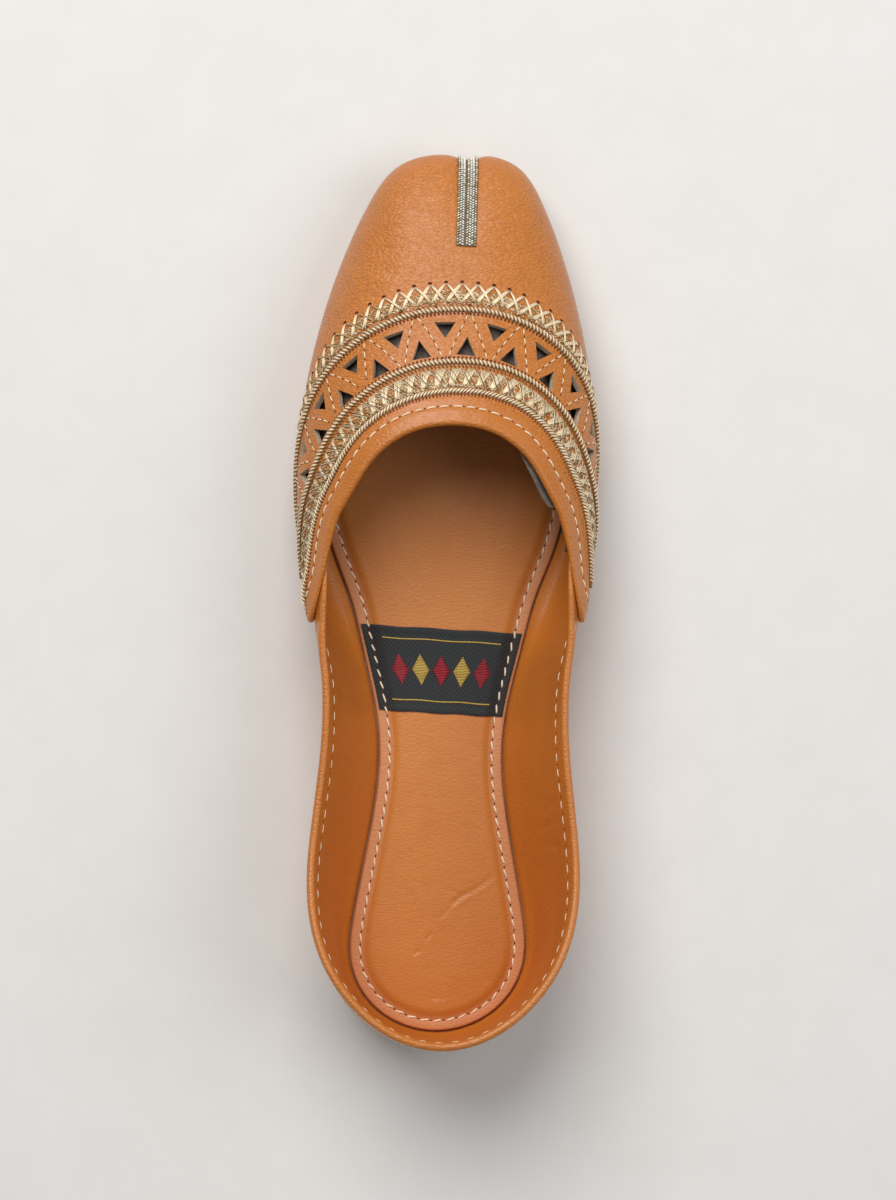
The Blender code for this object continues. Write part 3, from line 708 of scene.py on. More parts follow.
class Nodes:
    """A short way to write a material's nodes."""

    def __init__(self, name, colour, roughness, metallic=0.0):
        self.material = bpy.data.materials.new(name)
        self.material.use_nodes = True
        self.tree = self.material.node_tree
        self.shader = self.tree.nodes["Principled BSDF"]
        self.material.diffuse_color = (*colour, 1.0)
        self.set(**{"Base Color": (*colour, 1.0), "Roughness": roughness, "Metallic": metallic})
        self.object_place = self.add("ShaderNodeTexCoord").outputs["Object"]

    def set(self, **inputs):
        """Set or link inputs of the shader."""
        for key, value in inputs.items():
            self.plug(self.shader.inputs[key], value)

    def plug(self, socket, value):
        if isinstance(value, bpy.types.NodeSocket):
            self.tree.links.new(value, socket)
        else:
            socket.default_value = value

    def add(self, kind, inputs=None, **settings):
        node = self.tree.nodes.new(kind)
        for key, value in settings.items():
            setattr(node, key, value)
        for key, value in (inputs or {}).items():
            self.plug(node.inputs[key], value)
        return node

    def stretched(self, scale, source=None):
        """Object coordinates, scaled."""
        return self.add("ShaderNodeMapping", {"Vector": source or self.object_place,
                                              "Scale": scale}).outputs["Vector"]

    def noise(self, scale, detail=3.0, roughness=0.5, place=None):
        return self.add("ShaderNodeTexNoise", {
            "Vector": place or self.object_place, "Scale": scale, "Detail": detail,
            "Roughness": roughness}).outputs["Fac"]

    def cells(self, place):
        """Rounded pebbles: distance from the cells' middles."""
        return self.add("ShaderNodeTexVoronoi", {"Vector": place, "Scale": 1.0, "Smoothness": 0.22},
                        feature="SMOOTH_F1").outputs["Distance"]

    def math(self, operation, a, b):
        return self.add("ShaderNodeMath", {0: a, 1: b}, operation=operation).outputs[0]

    def span(self, value, low, high, to_low=0.0, to_high=1.0):
        """Map a value from one span to another, clamped."""
        return self.add("ShaderNodeMapRange", {
            "Value": value, "From Min": low, "From Max": high, "To Min": to_low,
            "To Max": to_high}).outputs["Result"]

    def mix(self, share, a, b):
        node = self.tree.nodes.new("ShaderNodeMix")
        node.data_type = "RGBA"
        for socket, value in ((node.inputs[0], share), (node.inputs[6], a), (node.inputs[7], b)):
            if isinstance(value, tuple) and len(value) == 3:
                value = (*value, 1.0)
            self.plug(socket, value)
        return node.outputs[2]

    def bump(self, height, strength, distance, under=None):
        inputs = {"Height": height, "Strength": strength, "Distance": distance}
        if under is not None:
            inputs["Normal"] = under
        return self.add("ShaderNodeBump", inputs).outputs["Normal"]


# Pebbles of the grain to a metre, across the shoe, along it and up
PEBBLES = (760.0, 1750.0, 1450.0)


def leather(name, colour, deep, roughness, grain=1.0, coat=0.28, patchy=0.30):
    """Smooth dyed leather: wavy rows of fine pebbles with painted shade in their hollows, soft change
    of tone and a low sheen.
    """
    kit = Nodes(name, colour, roughness)
    waver = kit.noise(150.0, 2.0)
    shift = kit.add("ShaderNodeCombineXYZ", {"X": kit.math("MULTIPLY", waver, 0.0010),
                                             "Y": kit.math("MULTIPLY", waver, 0.0030)})
    warped = kit.add("ShaderNodeVectorMath", {0: kit.object_place, 1: shift.outputs["Vector"]},
                     operation="ADD").outputs["Vector"]
    pebble = kit.cells(kit.stretched(PEBBLES, warped))
    creases = kit.noise(900.0, 3.0, 0.6, kit.stretched((0.7, 1.5, 1.0), warped))
    dust = kit.noise(4200.0, 2.0)
    height = kit.math("ADD", kit.math("MULTIPLY", pebble, -1.0),
                      kit.math("MULTIPLY", creases, 0.18))
    normal = kit.bump(dust, 0.25 * grain, 0.00003, kit.bump(height, grain, 0.00038))
    shade = kit.noise(38.0, 4.0, 0.6)
    blotch = kit.noise(210.0, 4.0, 0.65)
    share = kit.math("ADD", kit.span(shade, 0.35, 0.68, 0.0, patchy),
                     kit.span(blotch, 0.42, 0.72, 0.0, patchy * 0.8))
    tone = kit.mix(share, colour, deep)
    # Painted shade: the hollows between the pebbles are darkened
    valley_shade = kit.span(pebble, 0.35, 0.80, 0.0, 0.24 * grain)
    kit.set(**{
        "Base Color": kit.mix(valley_shade, tone, tuple(c * 0.60 for c in deep)),
        "Roughness": kit.span(kit.noise(90.0, 3.0), 0.3, 0.7, roughness - 0.04, roughness + 0.06),
        "Normal": normal,
        "Coat Weight": coat,
        "Coat Roughness": 0.32,
    })
    return kit.material


def thread(name, colour, deep, roughness=0.40, metallic=0.25):
    """Spun thread: each length a little lighter or darker, with the twist as bump."""
    kit = Nodes(name, colour, roughness, metallic)
    island = kit.add("ShaderNodeNewGeometry").outputs["Random Per Island"]
    spun = kit.noise(3600.0, 2.0, 0.6)
    share = kit.math("ADD", kit.math("MULTIPLY", island, 0.5), kit.span(spun, 0.3, 0.7, 0.0, 0.5))
    kit.set(**{"Base Color": kit.mix(share, colour, deep),
               "Normal": kit.bump(spun, 0.6, 0.00007)})
    return kit.material


def matt(name, colour, roughness):
    """A plain dull surface with a little unevenness."""
    kit = Nodes(name, colour, roughness)
    mottle = kit.noise(900.0, 3.0, 0.6)
    kit.set(**{
        "Base Color": kit.mix(kit.span(mottle, 0.3, 0.7), tuple(c * 0.7 for c in colour),
                              tuple(min(1.0, c * 1.3) for c in colour)),
        "Normal": kit.bump(mottle, 0.4, 0.00008),
    })
    return kit.material


def sole_leather():
    """Undyed hard leather in thin layers."""
    kit = Nodes("sole leather", (0.36, 0.16, 0.06), 0.55)
    layers = kit.noise(60.0, 4.0, 0.6, kit.stretched((1.0, 1.0, 40.0)))
    fibre = kit.noise(1400.0, 4.0, 0.7)
    share = kit.math("ADD", kit.span(layers, 0.35, 0.65, 0.0, 0.6),
                     kit.span(fibre, 0.3, 0.7, 0.0, 0.3))
    kit.set(**{"Base Color": kit.mix(share, (0.42, 0.20, 0.085), (0.22, 0.085, 0.03)),
               "Normal": kit.bump(kit.math("ADD", layers, fibre), 0.5, 0.00012)})
    return kit.material


def twill():
    """Black woven tape: fine slanting ribs over a tight weave."""
    kit = Nodes("black twill", (0.009, 0.010, 0.011), 0.75)
    slant = kit.add("ShaderNodeTexWave", {
        "Vector": kit.stretched((1.7, 1.0, 0.3)), "Scale": 480.0, "Distortion": 0.5, "Detail": 1.0,
        "Detail Scale": 2.0}, wave_type="BANDS", bands_direction="DIAGONAL",
        wave_profile="SIN").outputs["Fac"]
    weave = kit.noise(2600.0, 2.0)
    kit.set(**{"Base Color": kit.mix(kit.span(slant, 0.50, 1.0, 0.0, 0.85),
                                     (0.006, 0.007, 0.008), (0.045, 0.061, 0.068)),
               "Normal": kit.bump(kit.math("ADD", slant, kit.math("MULTIPLY", weave, 0.4)),
                                  0.6, 0.00012),
               "Sheen Weight": 0.08})
    return kit.material


LEATHER = leather("tan leather", (0.600, 0.195, 0.024), (0.520, 0.146, 0.013), 0.38)
RIM_LEATHER = leather("binding leather", (0.560, 0.180, 0.022), (0.480, 0.135, 0.013), 0.38,
                      grain=0.45)
LINING = leather("lining leather", (0.610, 0.195, 0.025), (0.520, 0.150, 0.016), 0.45,
                 grain=0.28, coat=0.05)
PAD = leather("insole leather", (0.590, 0.208, 0.038), (0.510, 0.158, 0.024), 0.46,
              grain=0.20, coat=0.05)
BORDER = leather("insole border leather", (0.640, 0.265, 0.105), (0.560, 0.210, 0.070), 0.5,
                 grain=0.28, coat=0.05)
GREY_LINING = matt("vamp lining", (0.165, 0.136, 0.114), 0.85)
CUT_EDGE = matt("cut edge", (0.50, 0.38, 0.27), 0.9)
# Painted shade: flat dark dots that stand for the shade inside the stitch holes
NEEDLE_HOLE_SHADE = matt("needle hole shade", (0.095, 0.022, 0.007), 0.9)
BRAID_GROUND = matt("braid ground", (0.135, 0.098, 0.056), 0.8)
RED = thread("red thread", (0.42, 0.012, 0.030), (0.24, 0.006, 0.016), 0.50, 0.0)
YELLOW = thread("yellow thread", (0.66, 0.48, 0.10), (0.42, 0.28, 0.05), 0.45, 0.0)
CREAM = thread("cream thread", (0.98, 0.87, 0.64), (0.76, 0.57, 0.33), 0.34, 0.22)
GOLD = thread("gold thread", (0.76, 0.55, 0.27), (0.48, 0.30, 0.12), 0.36, 0.30)
OLIVE = thread("dark gold thread", (0.20, 0.130, 0.060), (0.10, 0.055, 0.020), 0.45, 0.20)
CORE = thread("cord core", (0.34, 0.185, 0.072), (0.19, 0.085, 0.028), 0.50, 0.10)
# Painted shade: the dark floor of each shallow punched pit stands for the shade deep in a hole
# through the leather
PUNCHED_HOLE_SHADE = matt("punched hole", (0.26, 0.062, 0.018), 0.9)
WHITE = thread("sewing thread", (0.95, 0.84, 0.64), (0.80, 0.64, 0.42), 0.50, 0.0)
SILVER = thread("silver thread", (1.00, 0.98, 0.90), (0.84, 0.80, 0.68), 0.32, 0.12)
DULL_SILVER = thread("dull silver thread", (0.66, 0.58, 0.42), (0.36, 0.28, 0.17), 0.42, 0.15)
SOLE_LEATHER = sole_leather()
TWILL = twill()


# Upper

def shell_loops(u, d, outer, inner):
    """Closed loops round a leather wall: up its outer face, over its edge and down inside."""
    plain, normal = SKIN.at(u, d)
    plain = plain - normal * fold_dent(plain)[..., None]
    outside = plain + normal * outer[..., None]
    inside = plain + normal * inner[..., None]
    level = normal[:, -1].copy()
    level[:, 2] = 0.0
    inside[:, -1] = plain[:, -1] - unit(level) * WALL
    outside[:, -1] = plain[:, -1]
    middle = (outside[:, 0] + inside[:, 0]) / 2
    across = outside[:, 0] - inside[:, 0]
    radius = np.linalg.norm(across, axis=1, keepdims=True) / 2
    across = unit(across)
    upward = -SKIN.down_at(u[:, 0], d[:, 0])
    upward = unit(upward - across * np.sum(across * upward, axis=1, keepdims=True))
    loop = [outside[:, k] for k in range(outside.shape[1] - 1, -1, -1)]
    for degrees in BEAD_TURNS:
        turn = math.radians(degrees)
        swell = 1.0 + (RIM_SWELL - 1.0) * math.sin(turn)
        loop.append(middle + radius * swell * (math.cos(turn) * across + math.sin(turn) * upward))
    loop += [inside[:, k] for k in range(inside.shape[1])]
    return np.stack(loop, axis=1)


def shell_piece(name, loops, materials, marks_in_loop, sharp=None):
    """A wall of the upper from its loops, closed between outer and inner face at both ends."""
    columns, size = loops.shape[:2]
    faces = grid_faces(columns, size, wrap=True).tolist()
    rows = (size - BEAD_POINTS) // 2
    ends = []
    for base in (0, (columns - 1) * size):
        for k in range(rows - 1):
            ends.append([base + k, base + k + 1, base + size - 2 - k, base + size - 1 - k])
        ends.append([base + k for k in range(rows - 1, size - rows + 1)])
    marks = np.concatenate([np.tile(marks_in_loop, columns - 1), np.zeros(len(ends), dtype=int)])
    piece = new_piece(name, loops, faces + ends, materials, ["upper"], marks)
    point_outward(piece, sharp)
    return piece


def wall_rows(u, top, close, shares):
    """Distance of each row: close rows under the top edge, then even ones to the feather edge."""
    near = top[:, None] + close[None, :]
    length = SKIN.wall_length(u)[:, None]
    far = near[:, -1:] + (length - near[:, -1:]) * shares[None, :]
    return np.concatenate([near, far], axis=1)


def make_vamp():
    """The vamp with its wings, its folded binding and the openwork."""
    close = np.array([0.0, 0.0004, 0.0009, 0.0015, 0.0022, 0.0029, 0.0035, 0.0038,
                      0.0041, 0.0044, 0.0047, 0.0053, 0.0059, 0.0062, 0.0064, 0.0070])
    shares = np.linspace(0.0, 1.0, 49)[1:]
    spread = np.linspace(-1.0, 1.0, 401)
    wing_length = SKIN.wall_length(WING_AT) - WING_EDGE_DROP
    depth = np.concatenate([close, close[-1] + (wing_length - close[-1]) * shares])
    u = spread[:, None] * wing_rear(depth)[None, :]
    d = np.stack([wall_rows(u[:, k], wing_edge(u[:, k]), close, shares)[:, k]
                  for k in range(len(depth))], axis=1)
    inner = LAYER_GAP - (WALL + LAYER_GAP) * tucked(ahead_of_wing(u))
    loops = shell_loops(u, d, vamp_relief(u, d), inner)
    rows = u.shape[1]
    marks = np.zeros(loops.shape[1], dtype=int)
    marks[rows - BINDING_ROWS:rows + BEAD_POINTS + BINDING_INNER_ROWS] = 1
    marks[rows + BEAD_POINTS + BINDING_INNER_ROWS:] = 2
    cut_openwork(shell_piece("vamp", loops, [LEATHER, RIM_LEATHER, GREY_LINING], marks))


def row_places(base, shift, spacing, count):
    """Places round the last, evenly spaced along a line of the openwork."""
    low, high = SKIN.ends(base)
    runs = (low + high) / 2 + shift + (np.arange(count) - (count - 1) / 2) * spacing
    return runs, SKIN.place(base, runs)


UPRIGHT_RUNS, UPRIGHT_AT = row_places(
    INNER_TRIANGLE_BACK, INNER_SHIFT, INNER_PITCH, OPENWORK_COUNT)
INVERTED_RUNS, INVERTED_AT = row_places(
    OUTER_TRIANGLE_BACK, OUTER_SHIFT, OUTER_PITCH, OPENWORK_COUNT - 1)


def hole_places():
    """Runs and places of the punched holes along the front of the embroidery."""
    low, high = SKIN.ends(HOLE_ROW)
    count = int(high / HOLE_PITCH)
    run = (np.arange(-count, count + 1) + 0.42) * HOLE_PITCH
    u = SKIN.place(HOLE_ROW, run)
    keep = within(u, band_distance(HOLE_ROW, u), 0.003, 0.003)
    return run[keep], u[keep]


def cut_openwork(vamp):
    """Cut both rows of triangles through the vamp and sink the punched holes."""
    verts = []
    faces = []
    marks = []

    def frame_at(u, base):
        d = band_distance(base, u)
        point, normal = SKIN.at(u, d)
        down = SKIN.down_at(u, d)
        return point, normal, down, np.cross(normal, down)

    def add_prism(corners, top, bottom, normal, mark):
        first = len(verts)
        size = len(corners)
        verts.extend([c + normal * top for c in corners])
        verts.extend([c - normal * bottom for c in corners])
        faces.append([first + k for k in range(size)])
        faces.append([first + size + k for k in range(size - 1, -1, -1)])
        marks.extend([mark] * 2)
        for k in range(size):
            nxt = (k + 1) % size
            faces.append([first + k, first + size + k, first + size + nxt, first + nxt])
            marks.append(mark)

    rows = (
        (INVERTED_AT, OUTER_TRIANGLE_BACK, OUTER_TRIANGLE_BASE, OUTER_TRIANGLE_HEIGHT, 1.0),
        (UPRIGHT_AT, INNER_TRIANGLE_BACK, INNER_TRIANGLE_BASE, INNER_TRIANGLE_HEIGHT, -1.0),
    )
    for places, back, base, height, to_base in rows:
        for u in places:
            ends = u + np.array([-0.55, 0.55, 0.0]) * base
            drops = band_distance(back, u) + np.array([0.5, 0.5, -0.5]) * height * to_base
            if not np.all(within(ends, drops, 0.0008)):
                continue
            point, normal, down, along = frame_at(u, back)
            foot = point + down * height / 2 * to_base
            apex = point - down * height / 2 * to_base
            corners = [foot - along * base / 2, foot + along * base / 2, apex]
            add_prism(corners, CUTTER_REACH, CUTTER_REACH, normal, 0)
    for u in hole_places()[1]:
        point, normal, down, along = frame_at(u, HOLE_ROW)
        turns = np.linspace(0.0, 2 * math.pi, 10, endpoint=False)
        ring = [point + along * HOLE_SIZE[0] * math.cos(turn) + down * HOLE_SIZE[1] * math.sin(turn)
                for turn in turns]
        # The pit's faces take the dark painted shade of a deep hole
        add_prism(ring, 0.001, 0.0006, normal, 1)
    mesh = bpy.data.meshes.new("openwork_cutter")
    mesh.from_pydata([tuple(v) for v in verts], [], faces)
    mesh.materials.append(CUT_EDGE)
    mesh.materials.append(PUNCHED_HOLE_SHADE)
    mesh.polygons.foreach_set("material_index", np.array(marks, dtype=np.int32))
    cutter = add_object("openwork_cutter", mesh)
    point_outward(cutter)
    cut = vamp.modifiers.new("openwork", "BOOLEAN")
    cut.operation = "DIFFERENCE"
    cut.solver = "EXACT"
    cut.material_mode = "TRANSFER"
    cut.object = cutter
    bpy.context.view_layer.update()
    evaluated = vamp.evaluated_get(bpy.context.evaluated_depsgraph_get())
    result = bpy.data.meshes.new_from_object(evaluated)
    vamp.modifiers.clear()
    vamp.data = result
    result.name = "vamp"
    result.shade_smooth()
    result.set_sharp_from_angle(angle=math.radians(OPENWORK_SHARP))
    bpy.data.objects.remove(cutter)


def make_vamp_lining():
    """A thin grey lining that hangs inside the vamp; its loose edge peeps out at the outer side."""
    reach = WING_AT - QUARTER_FRONT + 0.005
    u = np.linspace(-reach, reach, 181)[:, None]
    share = np.linspace(0.0, 1.0, 42)[None, :]
    peep = 0.4 * smooth_step((u - 0.046) / 0.014) + 0.6 * smooth_step((u - 0.064) / 0.036)
    peep = peep * smooth_step((0.1195 - u) / 0.005)
    top = 0.0030 * (1.0 - peep) - LINING_PEEP * peep
    d = top + (np.minimum(0.0460, SKIN.wall_length(u) - 0.002) - top) * share
    under = np.maximum(d, 0.0)
    points, normal = SKIN.at(u, under)
    points = points + SKIN.down_at(u, under) * np.minimum(d, 0.0)[..., None]
    sag = 0.0020 * np.sin(math.pi * share) ** 0.8 * smooth_step((reach - np.abs(u)) / 0.018)
    ripple = 0.00015 * np.sin(u * 310.0 + share * 5.0)
    face = points - normal * (WALL + 0.0004 + sag + ripple + fold_dent(points))[..., None]
    sheet_piece("vamp_lining", face, face - normal * LINING_THICKNESS, GREY_LINING)


# Creases in the quarter's lining: place round the last, depth down, length, slant, width, height
LINING_CREASES = [
    (0.2050, 0.012, 0.0060, 0.35, 0.0007, 0.00022),
    (0.2105, 0.015, 0.0075, 0.20, 0.0008, 0.00025),
    (0.2165, 0.013, 0.0060, 0.05, 0.0007, 0.00020),
    (0.3900, 0.014, 0.0070, -0.25, 0.0009, 0.00022),
    (0.4000, 0.017, 0.0060, -0.10, 0.0008, 0.00018),
]


def inner_creases(u, d):
    """Soft wrinkles of the lining."""
    total = np.zeros(np.shape(d))
    for place, depth, length, slant, width, height in LINING_CREASES:
        along = (d - depth) * math.cos(slant) + (u - place) * math.sin(slant)
        across = (u - place) * math.cos(slant) - (d - depth) * math.sin(slant)
        total += height * groove(across, width) * groove(along, length)
    return total


def make_quarter():
    """The quarters and the heel counter with their rolled rim, tucked under the wings."""
    close = np.array([0.0, 0.0004, 0.0009, 0.0015, 0.0022, 0.0029, 0.0033, 0.0036,
                      0.0039, 0.0042, 0.0044, 0.0050])
    shares = np.linspace(0.0, 1.0, 41)[1:]
    line = np.linspace(WING_AT - QUARTER_FRONT, ROUND - WING_AT + QUARTER_FRONT, 321)
    ahead = ahead_of_wing(line)
    tuck = tucked(ahead)
    top = quarter_drop(ahead)
    d = wall_rows(line, top, close, shares)
    u = np.broadcast_to(line[:, None], d.shape)
    depth = d - top[:, None]
    binding = BINDING_STEP * (1.0 - smooth_step((depth - RIM_BINDING_WIDTH) / 0.0002))
    seam = 0.00014 * groove(depth - RIM_STITCH_IN, 0.00045)
    bared = 1.0 - smooth_step(ahead / 0.004)
    outer = (binding - seam) * bared[:, None] - (WALL * tuck)[:, None]
    inner = -(WALL + 0.0002 * tuck)[:, None] + seam + inner_creases(u, d)
    loops = shell_loops(u, d, outer, inner)
    rows = d.shape[1]
    marks = np.zeros(loops.shape[1], dtype=int)
    marks[rows - RIM_BINDING_ROWS:rows + BEAD_POINTS] = 1
    marks[rows + BEAD_POINTS:] = 2
    shell_piece("quarter", loops, [LEATHER, RIM_LEATHER, LINING], marks, SOFT_SHARP)


# Sewing

def sew(threads, holes, points, normals, pitch, length, radius, height, hole, seed, slant=0.0,
        stretch=1.0):
    """Lay short stitches along a dense line, with small flat dark dots between them: painted shade of
    the stitch holes.

    The dots have a radius of their own and are longer along the seam where stretched.
    """
    run = run_along(points)
    middles = (np.arange(int(run[-1] / pitch)) + 0.5) * pitch
    rng = np.random.default_rng(seed)
    t, arch, thick = stitch_shape()
    jitter = rng.normal(0.0, 0.04, (len(middles), 1)) * pitch
    reach = length * (1.0 + rng.normal(0.0, 0.05, (len(middles), 1)))
    stops = middles[:, None] + jitter + (t[None, :] - 0.5) * reach
    place = read_line(points, run, stops)
    normal = unit(read_line(normals, run, stops))
    side = np.cross(normal, unit(np.gradient(place, axis=1)))
    lean = slant + rng.normal(0.0, 0.03, (len(middles), 1))
    place = place + side * (lean * (t[None, :] - 0.5) * reach)[..., None]
    place = place + normal * (height * arch - radius * 0.9 * (1.0 - arch))[None, :, None]
    threads.add(place, normal, radius * thick[None, :], flat=0.75)
    stops = np.concatenate([middles - pitch / 2, middles[-1:] + pitch / 2])
    ahead = read_line(points, run, stops + hole) - read_line(points, run, stops - hole)
    keep = np.linalg.norm(ahead, axis=1) > hole
    add_dots(holes, read_line(points, run, stops[keep]), unit(read_line(normals, run, stops[keep])),
             hole, NEEDLE_HOLE_SUNK, unit(ahead[keep]), stretch)


def add_dots(batch, place, normal, radius, sunk, along, stretch):
    """Flat dark dots that lie just over a surface: painted shade of stitch holes."""
    t = np.array([-1.0, -0.7, 0.0, 0.7, 1.0])
    width = np.sqrt(np.clip(1.0 - t**2, 0.04, 1.0))
    line = place[:, None] + along[:, None] * (radius * stretch * t)[None, :, None]
    line = line + normal[:, None] * (0.00006 - sunk)
    batch.add(line, np.broadcast_to(normal[:, None], line.shape), radius * width[None, :], flat=0.35)


def sewn_seam(name, slot, *line, **shape):
    """A seam and the painted shade of its stitch holes as dark dots, each as a piece of its own."""
    threads = Threads()
    holes = Threads(8)
    sew(threads, holes, *line, **shape)
    threads.piece(f"{name}_stitches", WHITE)
    holes.piece(f"{name}_needle_hole_shade", NEEDLE_HOLE_SHADE, slot)


def make_binding_stitches():
    """The stitching on the throat's binding, from wing corner to wing corner."""
    limit = float(wing_rear(np.array([BINDING_STITCH_IN]))[0]) - 0.0022
    u = np.linspace(-limit, limit, 1500)
    points, normals = on_vamp(u, wing_edge(u) + BINDING_STITCH_IN)
    sewn_seam("binding", "tan_leather", points, normals, BINDING_STITCH_PITCH,
              BINDING_STITCH_LENGTH, STITCH_RADIUS, 0.00018, 0.00030, 3, slant=0.06)


def make_rim_stitches():
    """Straight stitches inside the quarter's rim."""
    limit = WING_AT - QUARTER_FRONT + 0.0025
    u = np.linspace(limit, ROUND - limit, 1700)
    ahead = np.maximum(ahead_of_wing(u), 0.0)
    depth = quarter_drop(ahead) + RIM_STITCH_IN + RIM_STITCH_DROP * smooth_step(ahead / 0.020)
    plain, normal = SKIN.at(u, depth)
    points = plain - normal * (WALL - 0.00010 + 0.00022 * tucked(ahead))[:, None]
    sewn_seam("rim", "tan_leather", points, -normal, RIM_STITCH_PITCH, RIM_STITCH_LENGTH,
              STITCH_RADIUS * 0.80, 0.00012, 0.00026, 5, slant=0.05)


def make_zigzag():
    """A line of crosses round the outside of the quarter."""
    start = WING_AT + 0.0015
    plain, _ = SKIN.at(np.linspace(start, ROUND - start, 800), np.full(800, 0.0080))
    corners = np.linspace(start, ROUND - start, int(run_along(plain)[-1] / ZIGZAG_PITCH) + 1)
    turn = np.arange(len(corners)) % 2
    zigzag = Threads()
    t, arch, thick = stitch_shape(6)
    for high, low in (ZIGZAG_DEPTHS, ZIGZAG_DEPTHS[::-1]):
        depth = np.where(turn == 0, high, low)
        place_u = corners[:-1, None] + (corners[1:] - corners[:-1])[:, None] * t
        place_d = depth[:-1, None] + (depth[1:] - depth[:-1])[:, None] * t
        points, normals = SKIN.at(place_u, place_d)
        points = points + normals * (0.00050 * arch - THREAD_FOOT)[None, :, None]
        zigzag.add(points, normals, 0.00026 * thick[None, :], flat=0.8)
    zigzag.piece("quarter_zigzag", WHITE)


# Embroidery

def thread_lines(batch, u0, d0, u1, d1, radius, height, count=7):
    """Threads laid on the vamp from (u0, d0) to (u1, d1), arching over it between the ends.

    A thread that would leave the vamp is left out.
    """
    keep = within(u0, d0) & within(u1, d1)
    u0, d0, u1, d1 = (places[keep, None] for places in (u0, d0, u1, d1))
    t = np.linspace(0.0, 1.0, count)
    arch = np.sin(math.pi * t) ** 0.5
    thick = 0.5 + 0.5 * np.sin(math.pi * t) ** 0.3
    rise = THREAD_FOOT + (height - THREAD_FOOT) * arch
    points, normals = on_vamp(u0 + (u1 - u0) * t, d0 + (d1 - d0) * t, rise[None, :])
    batch.add(points, normals, radius * thick[None, :], flat=0.8)


def strokes(batch, base, runs, first, last, radius, height, lanes=1, spread=(0.0, 0.0),
            rough=0.00006, seed=1, count=7):
    """Threads side by side, from one offset of each place along a line to another offset.

    first and last are the run and the drop from the place; spread parts the lanes at both ends.
    """
    rng = np.random.default_rng(seed)
    lane = np.arange(lanes) - (lanes - 1) / 2
    ends = []
    for (run, drop), apart in ((first, spread[0]), (last, spread[1])):
        stops = (runs[:, None] + run + lane[None, :] * apart).ravel()
        u = SKIN.place(base, stops + rng.normal(0.0, rough, len(stops)))
        ends += [u, band_distance(base + drop, u) + rng.normal(0.0, rough, len(stops))]
    thread_lines(batch, *ends, radius, height, count)


def line_runs(base, pitch, room=CORD_END):
    """Runs of what repeats along a line of the embroidery."""
    low, high = SKIN.ends(base)
    return np.arange(low + room, high - room, pitch)


def dots_along(batch, base, runs, run, drop, radius, stretch):
    """Painted shade of stitch holes, as dark dots, at one offset of each place along a line."""
    u = SKIN.place(base, runs + run)
    d = band_distance(base + drop, u)
    keep = within(u, d)
    points, normals = on_vamp(u[keep], d[keep])
    add_dots(batch, points, normals, radius, 0.0, SKIN.down_at(u[keep], d[keep]), stretch)


def couch(batches, base, rows, seed):
    """A strip of small uneven dashes with gaps between them, which ties a cord's edge down."""
    rng = np.random.default_rng(seed)
    for k, drop in enumerate(rows):
        runs = line_runs(base, COUCHING_PITCH)
        runs = runs + rng.normal(0.0, 0.18 * COUCHING_PITCH, len(runs))
        chance = rng.random(len(runs))
        lean = 0.00030 if k % 2 else -0.00030
        low = 0.0
        for batch, share in zip(batches, COUCHING_SHARES):
            some = runs[(chance >= low) & (chance < low + share)]
            low += share
            strokes(batch, base, some, (-lean, drop - 0.00030), (lean, drop + 0.00030), 0.00013,
                    0.00036, rough=0.00014, seed=seed + 10 * k, count=5)


def flecks(batch, base, drops, density, reach, tilt, seed):
    """Short dashes strewn over a band, thicker on the ground towards the toe's centre."""
    rng = np.random.default_rng(seed)
    low, high = SKIN.ends(base)
    count = int((high - low) * abs(drops[1] - drops[0]) * density)
    runs = rng.uniform(low, high, count)
    runs = runs[rng.random(count) < 0.55 + 0.45 * np.exp(-((runs / 0.030) ** 2))]
    drop = rng.uniform(min(drops), max(drops), len(runs))
    lean = rng.normal(tilt, 0.35, len(runs)) * reach
    u0 = SKIN.place(base, runs - lean)
    u1 = SKIN.place(base, runs + lean)
    d0 = band_distance(base + drop, u0) - reach / 2
    d1 = band_distance(base + drop, u1) + reach / 2
    thread_lines(batch, u0, d0, u1, d1, 0.00011, 0.00024, 5)


def make_front_band():
    """Crossed bundles from the punched holes down to the couched strip at the front cord."""
    runs = hole_places()[0]
    bundles = Threads()
    strokes(bundles, HOLE_ROW, runs, (-0.0001, -0.0004), (-0.0043, -0.0060), 0.00015, 0.00050,
            lanes=4, spread=(0.00024, 0.00034), rough=0.00003, seed=21)
    bright = runs[runs > FRONT_BAND_CHANGE]
    strokes(bundles, HOLE_ROW, bright, (0.0002, -0.0005), (0.0044, -0.0060), 0.00014, 0.00080,
            lanes=3, spread=(0.00020, 0.00032), rough=0.00004, seed=22)
    bundles.piece("front_band_bundles", CREAM)
    crossings = Threads()
    strokes(crossings, HOLE_ROW, runs[runs <= FRONT_BAND_CHANGE], (0.0001, -0.0004),
            (0.0043, -0.0060), 0.00013, 0.00074, lanes=2, spread=(0.00024, 0.00034), rough=0.00004,
            seed=27)
    crossings.piece("front_band_crossings", GOLD)
    dark = Threads(5)
    strokes(dark, HOLE_ROW, runs, (0.0004, -0.0006), (0.0048, -0.0060), 0.00010, 0.00070, seed=23)
    strokes(dark, HOLE_ROW, runs, (-0.0005, -0.0006), (-0.0050, -0.0060), 0.00010, 0.00045, seed=24)
    gold = Threads(4)
    pale = Threads(4)
    couch((pale, gold, dark), CORD_FRONT, (0.0012, 0.0018, 0.0024), 31)
    flecks(gold, CORD_FRONT, (0.0022, 0.0058), 2.6e6, 0.0007, 0.8, 25)
    flecks(pale, CORD_FRONT, (0.0022, 0.0058), 1.8e6, 0.0007, -0.8, 28)
    gold.piece("front_band_couching", GOLD)
    pale.piece("front_band_pale_couching", CREAM)
    dark.piece("front_band_dark_threads", OLIVE)


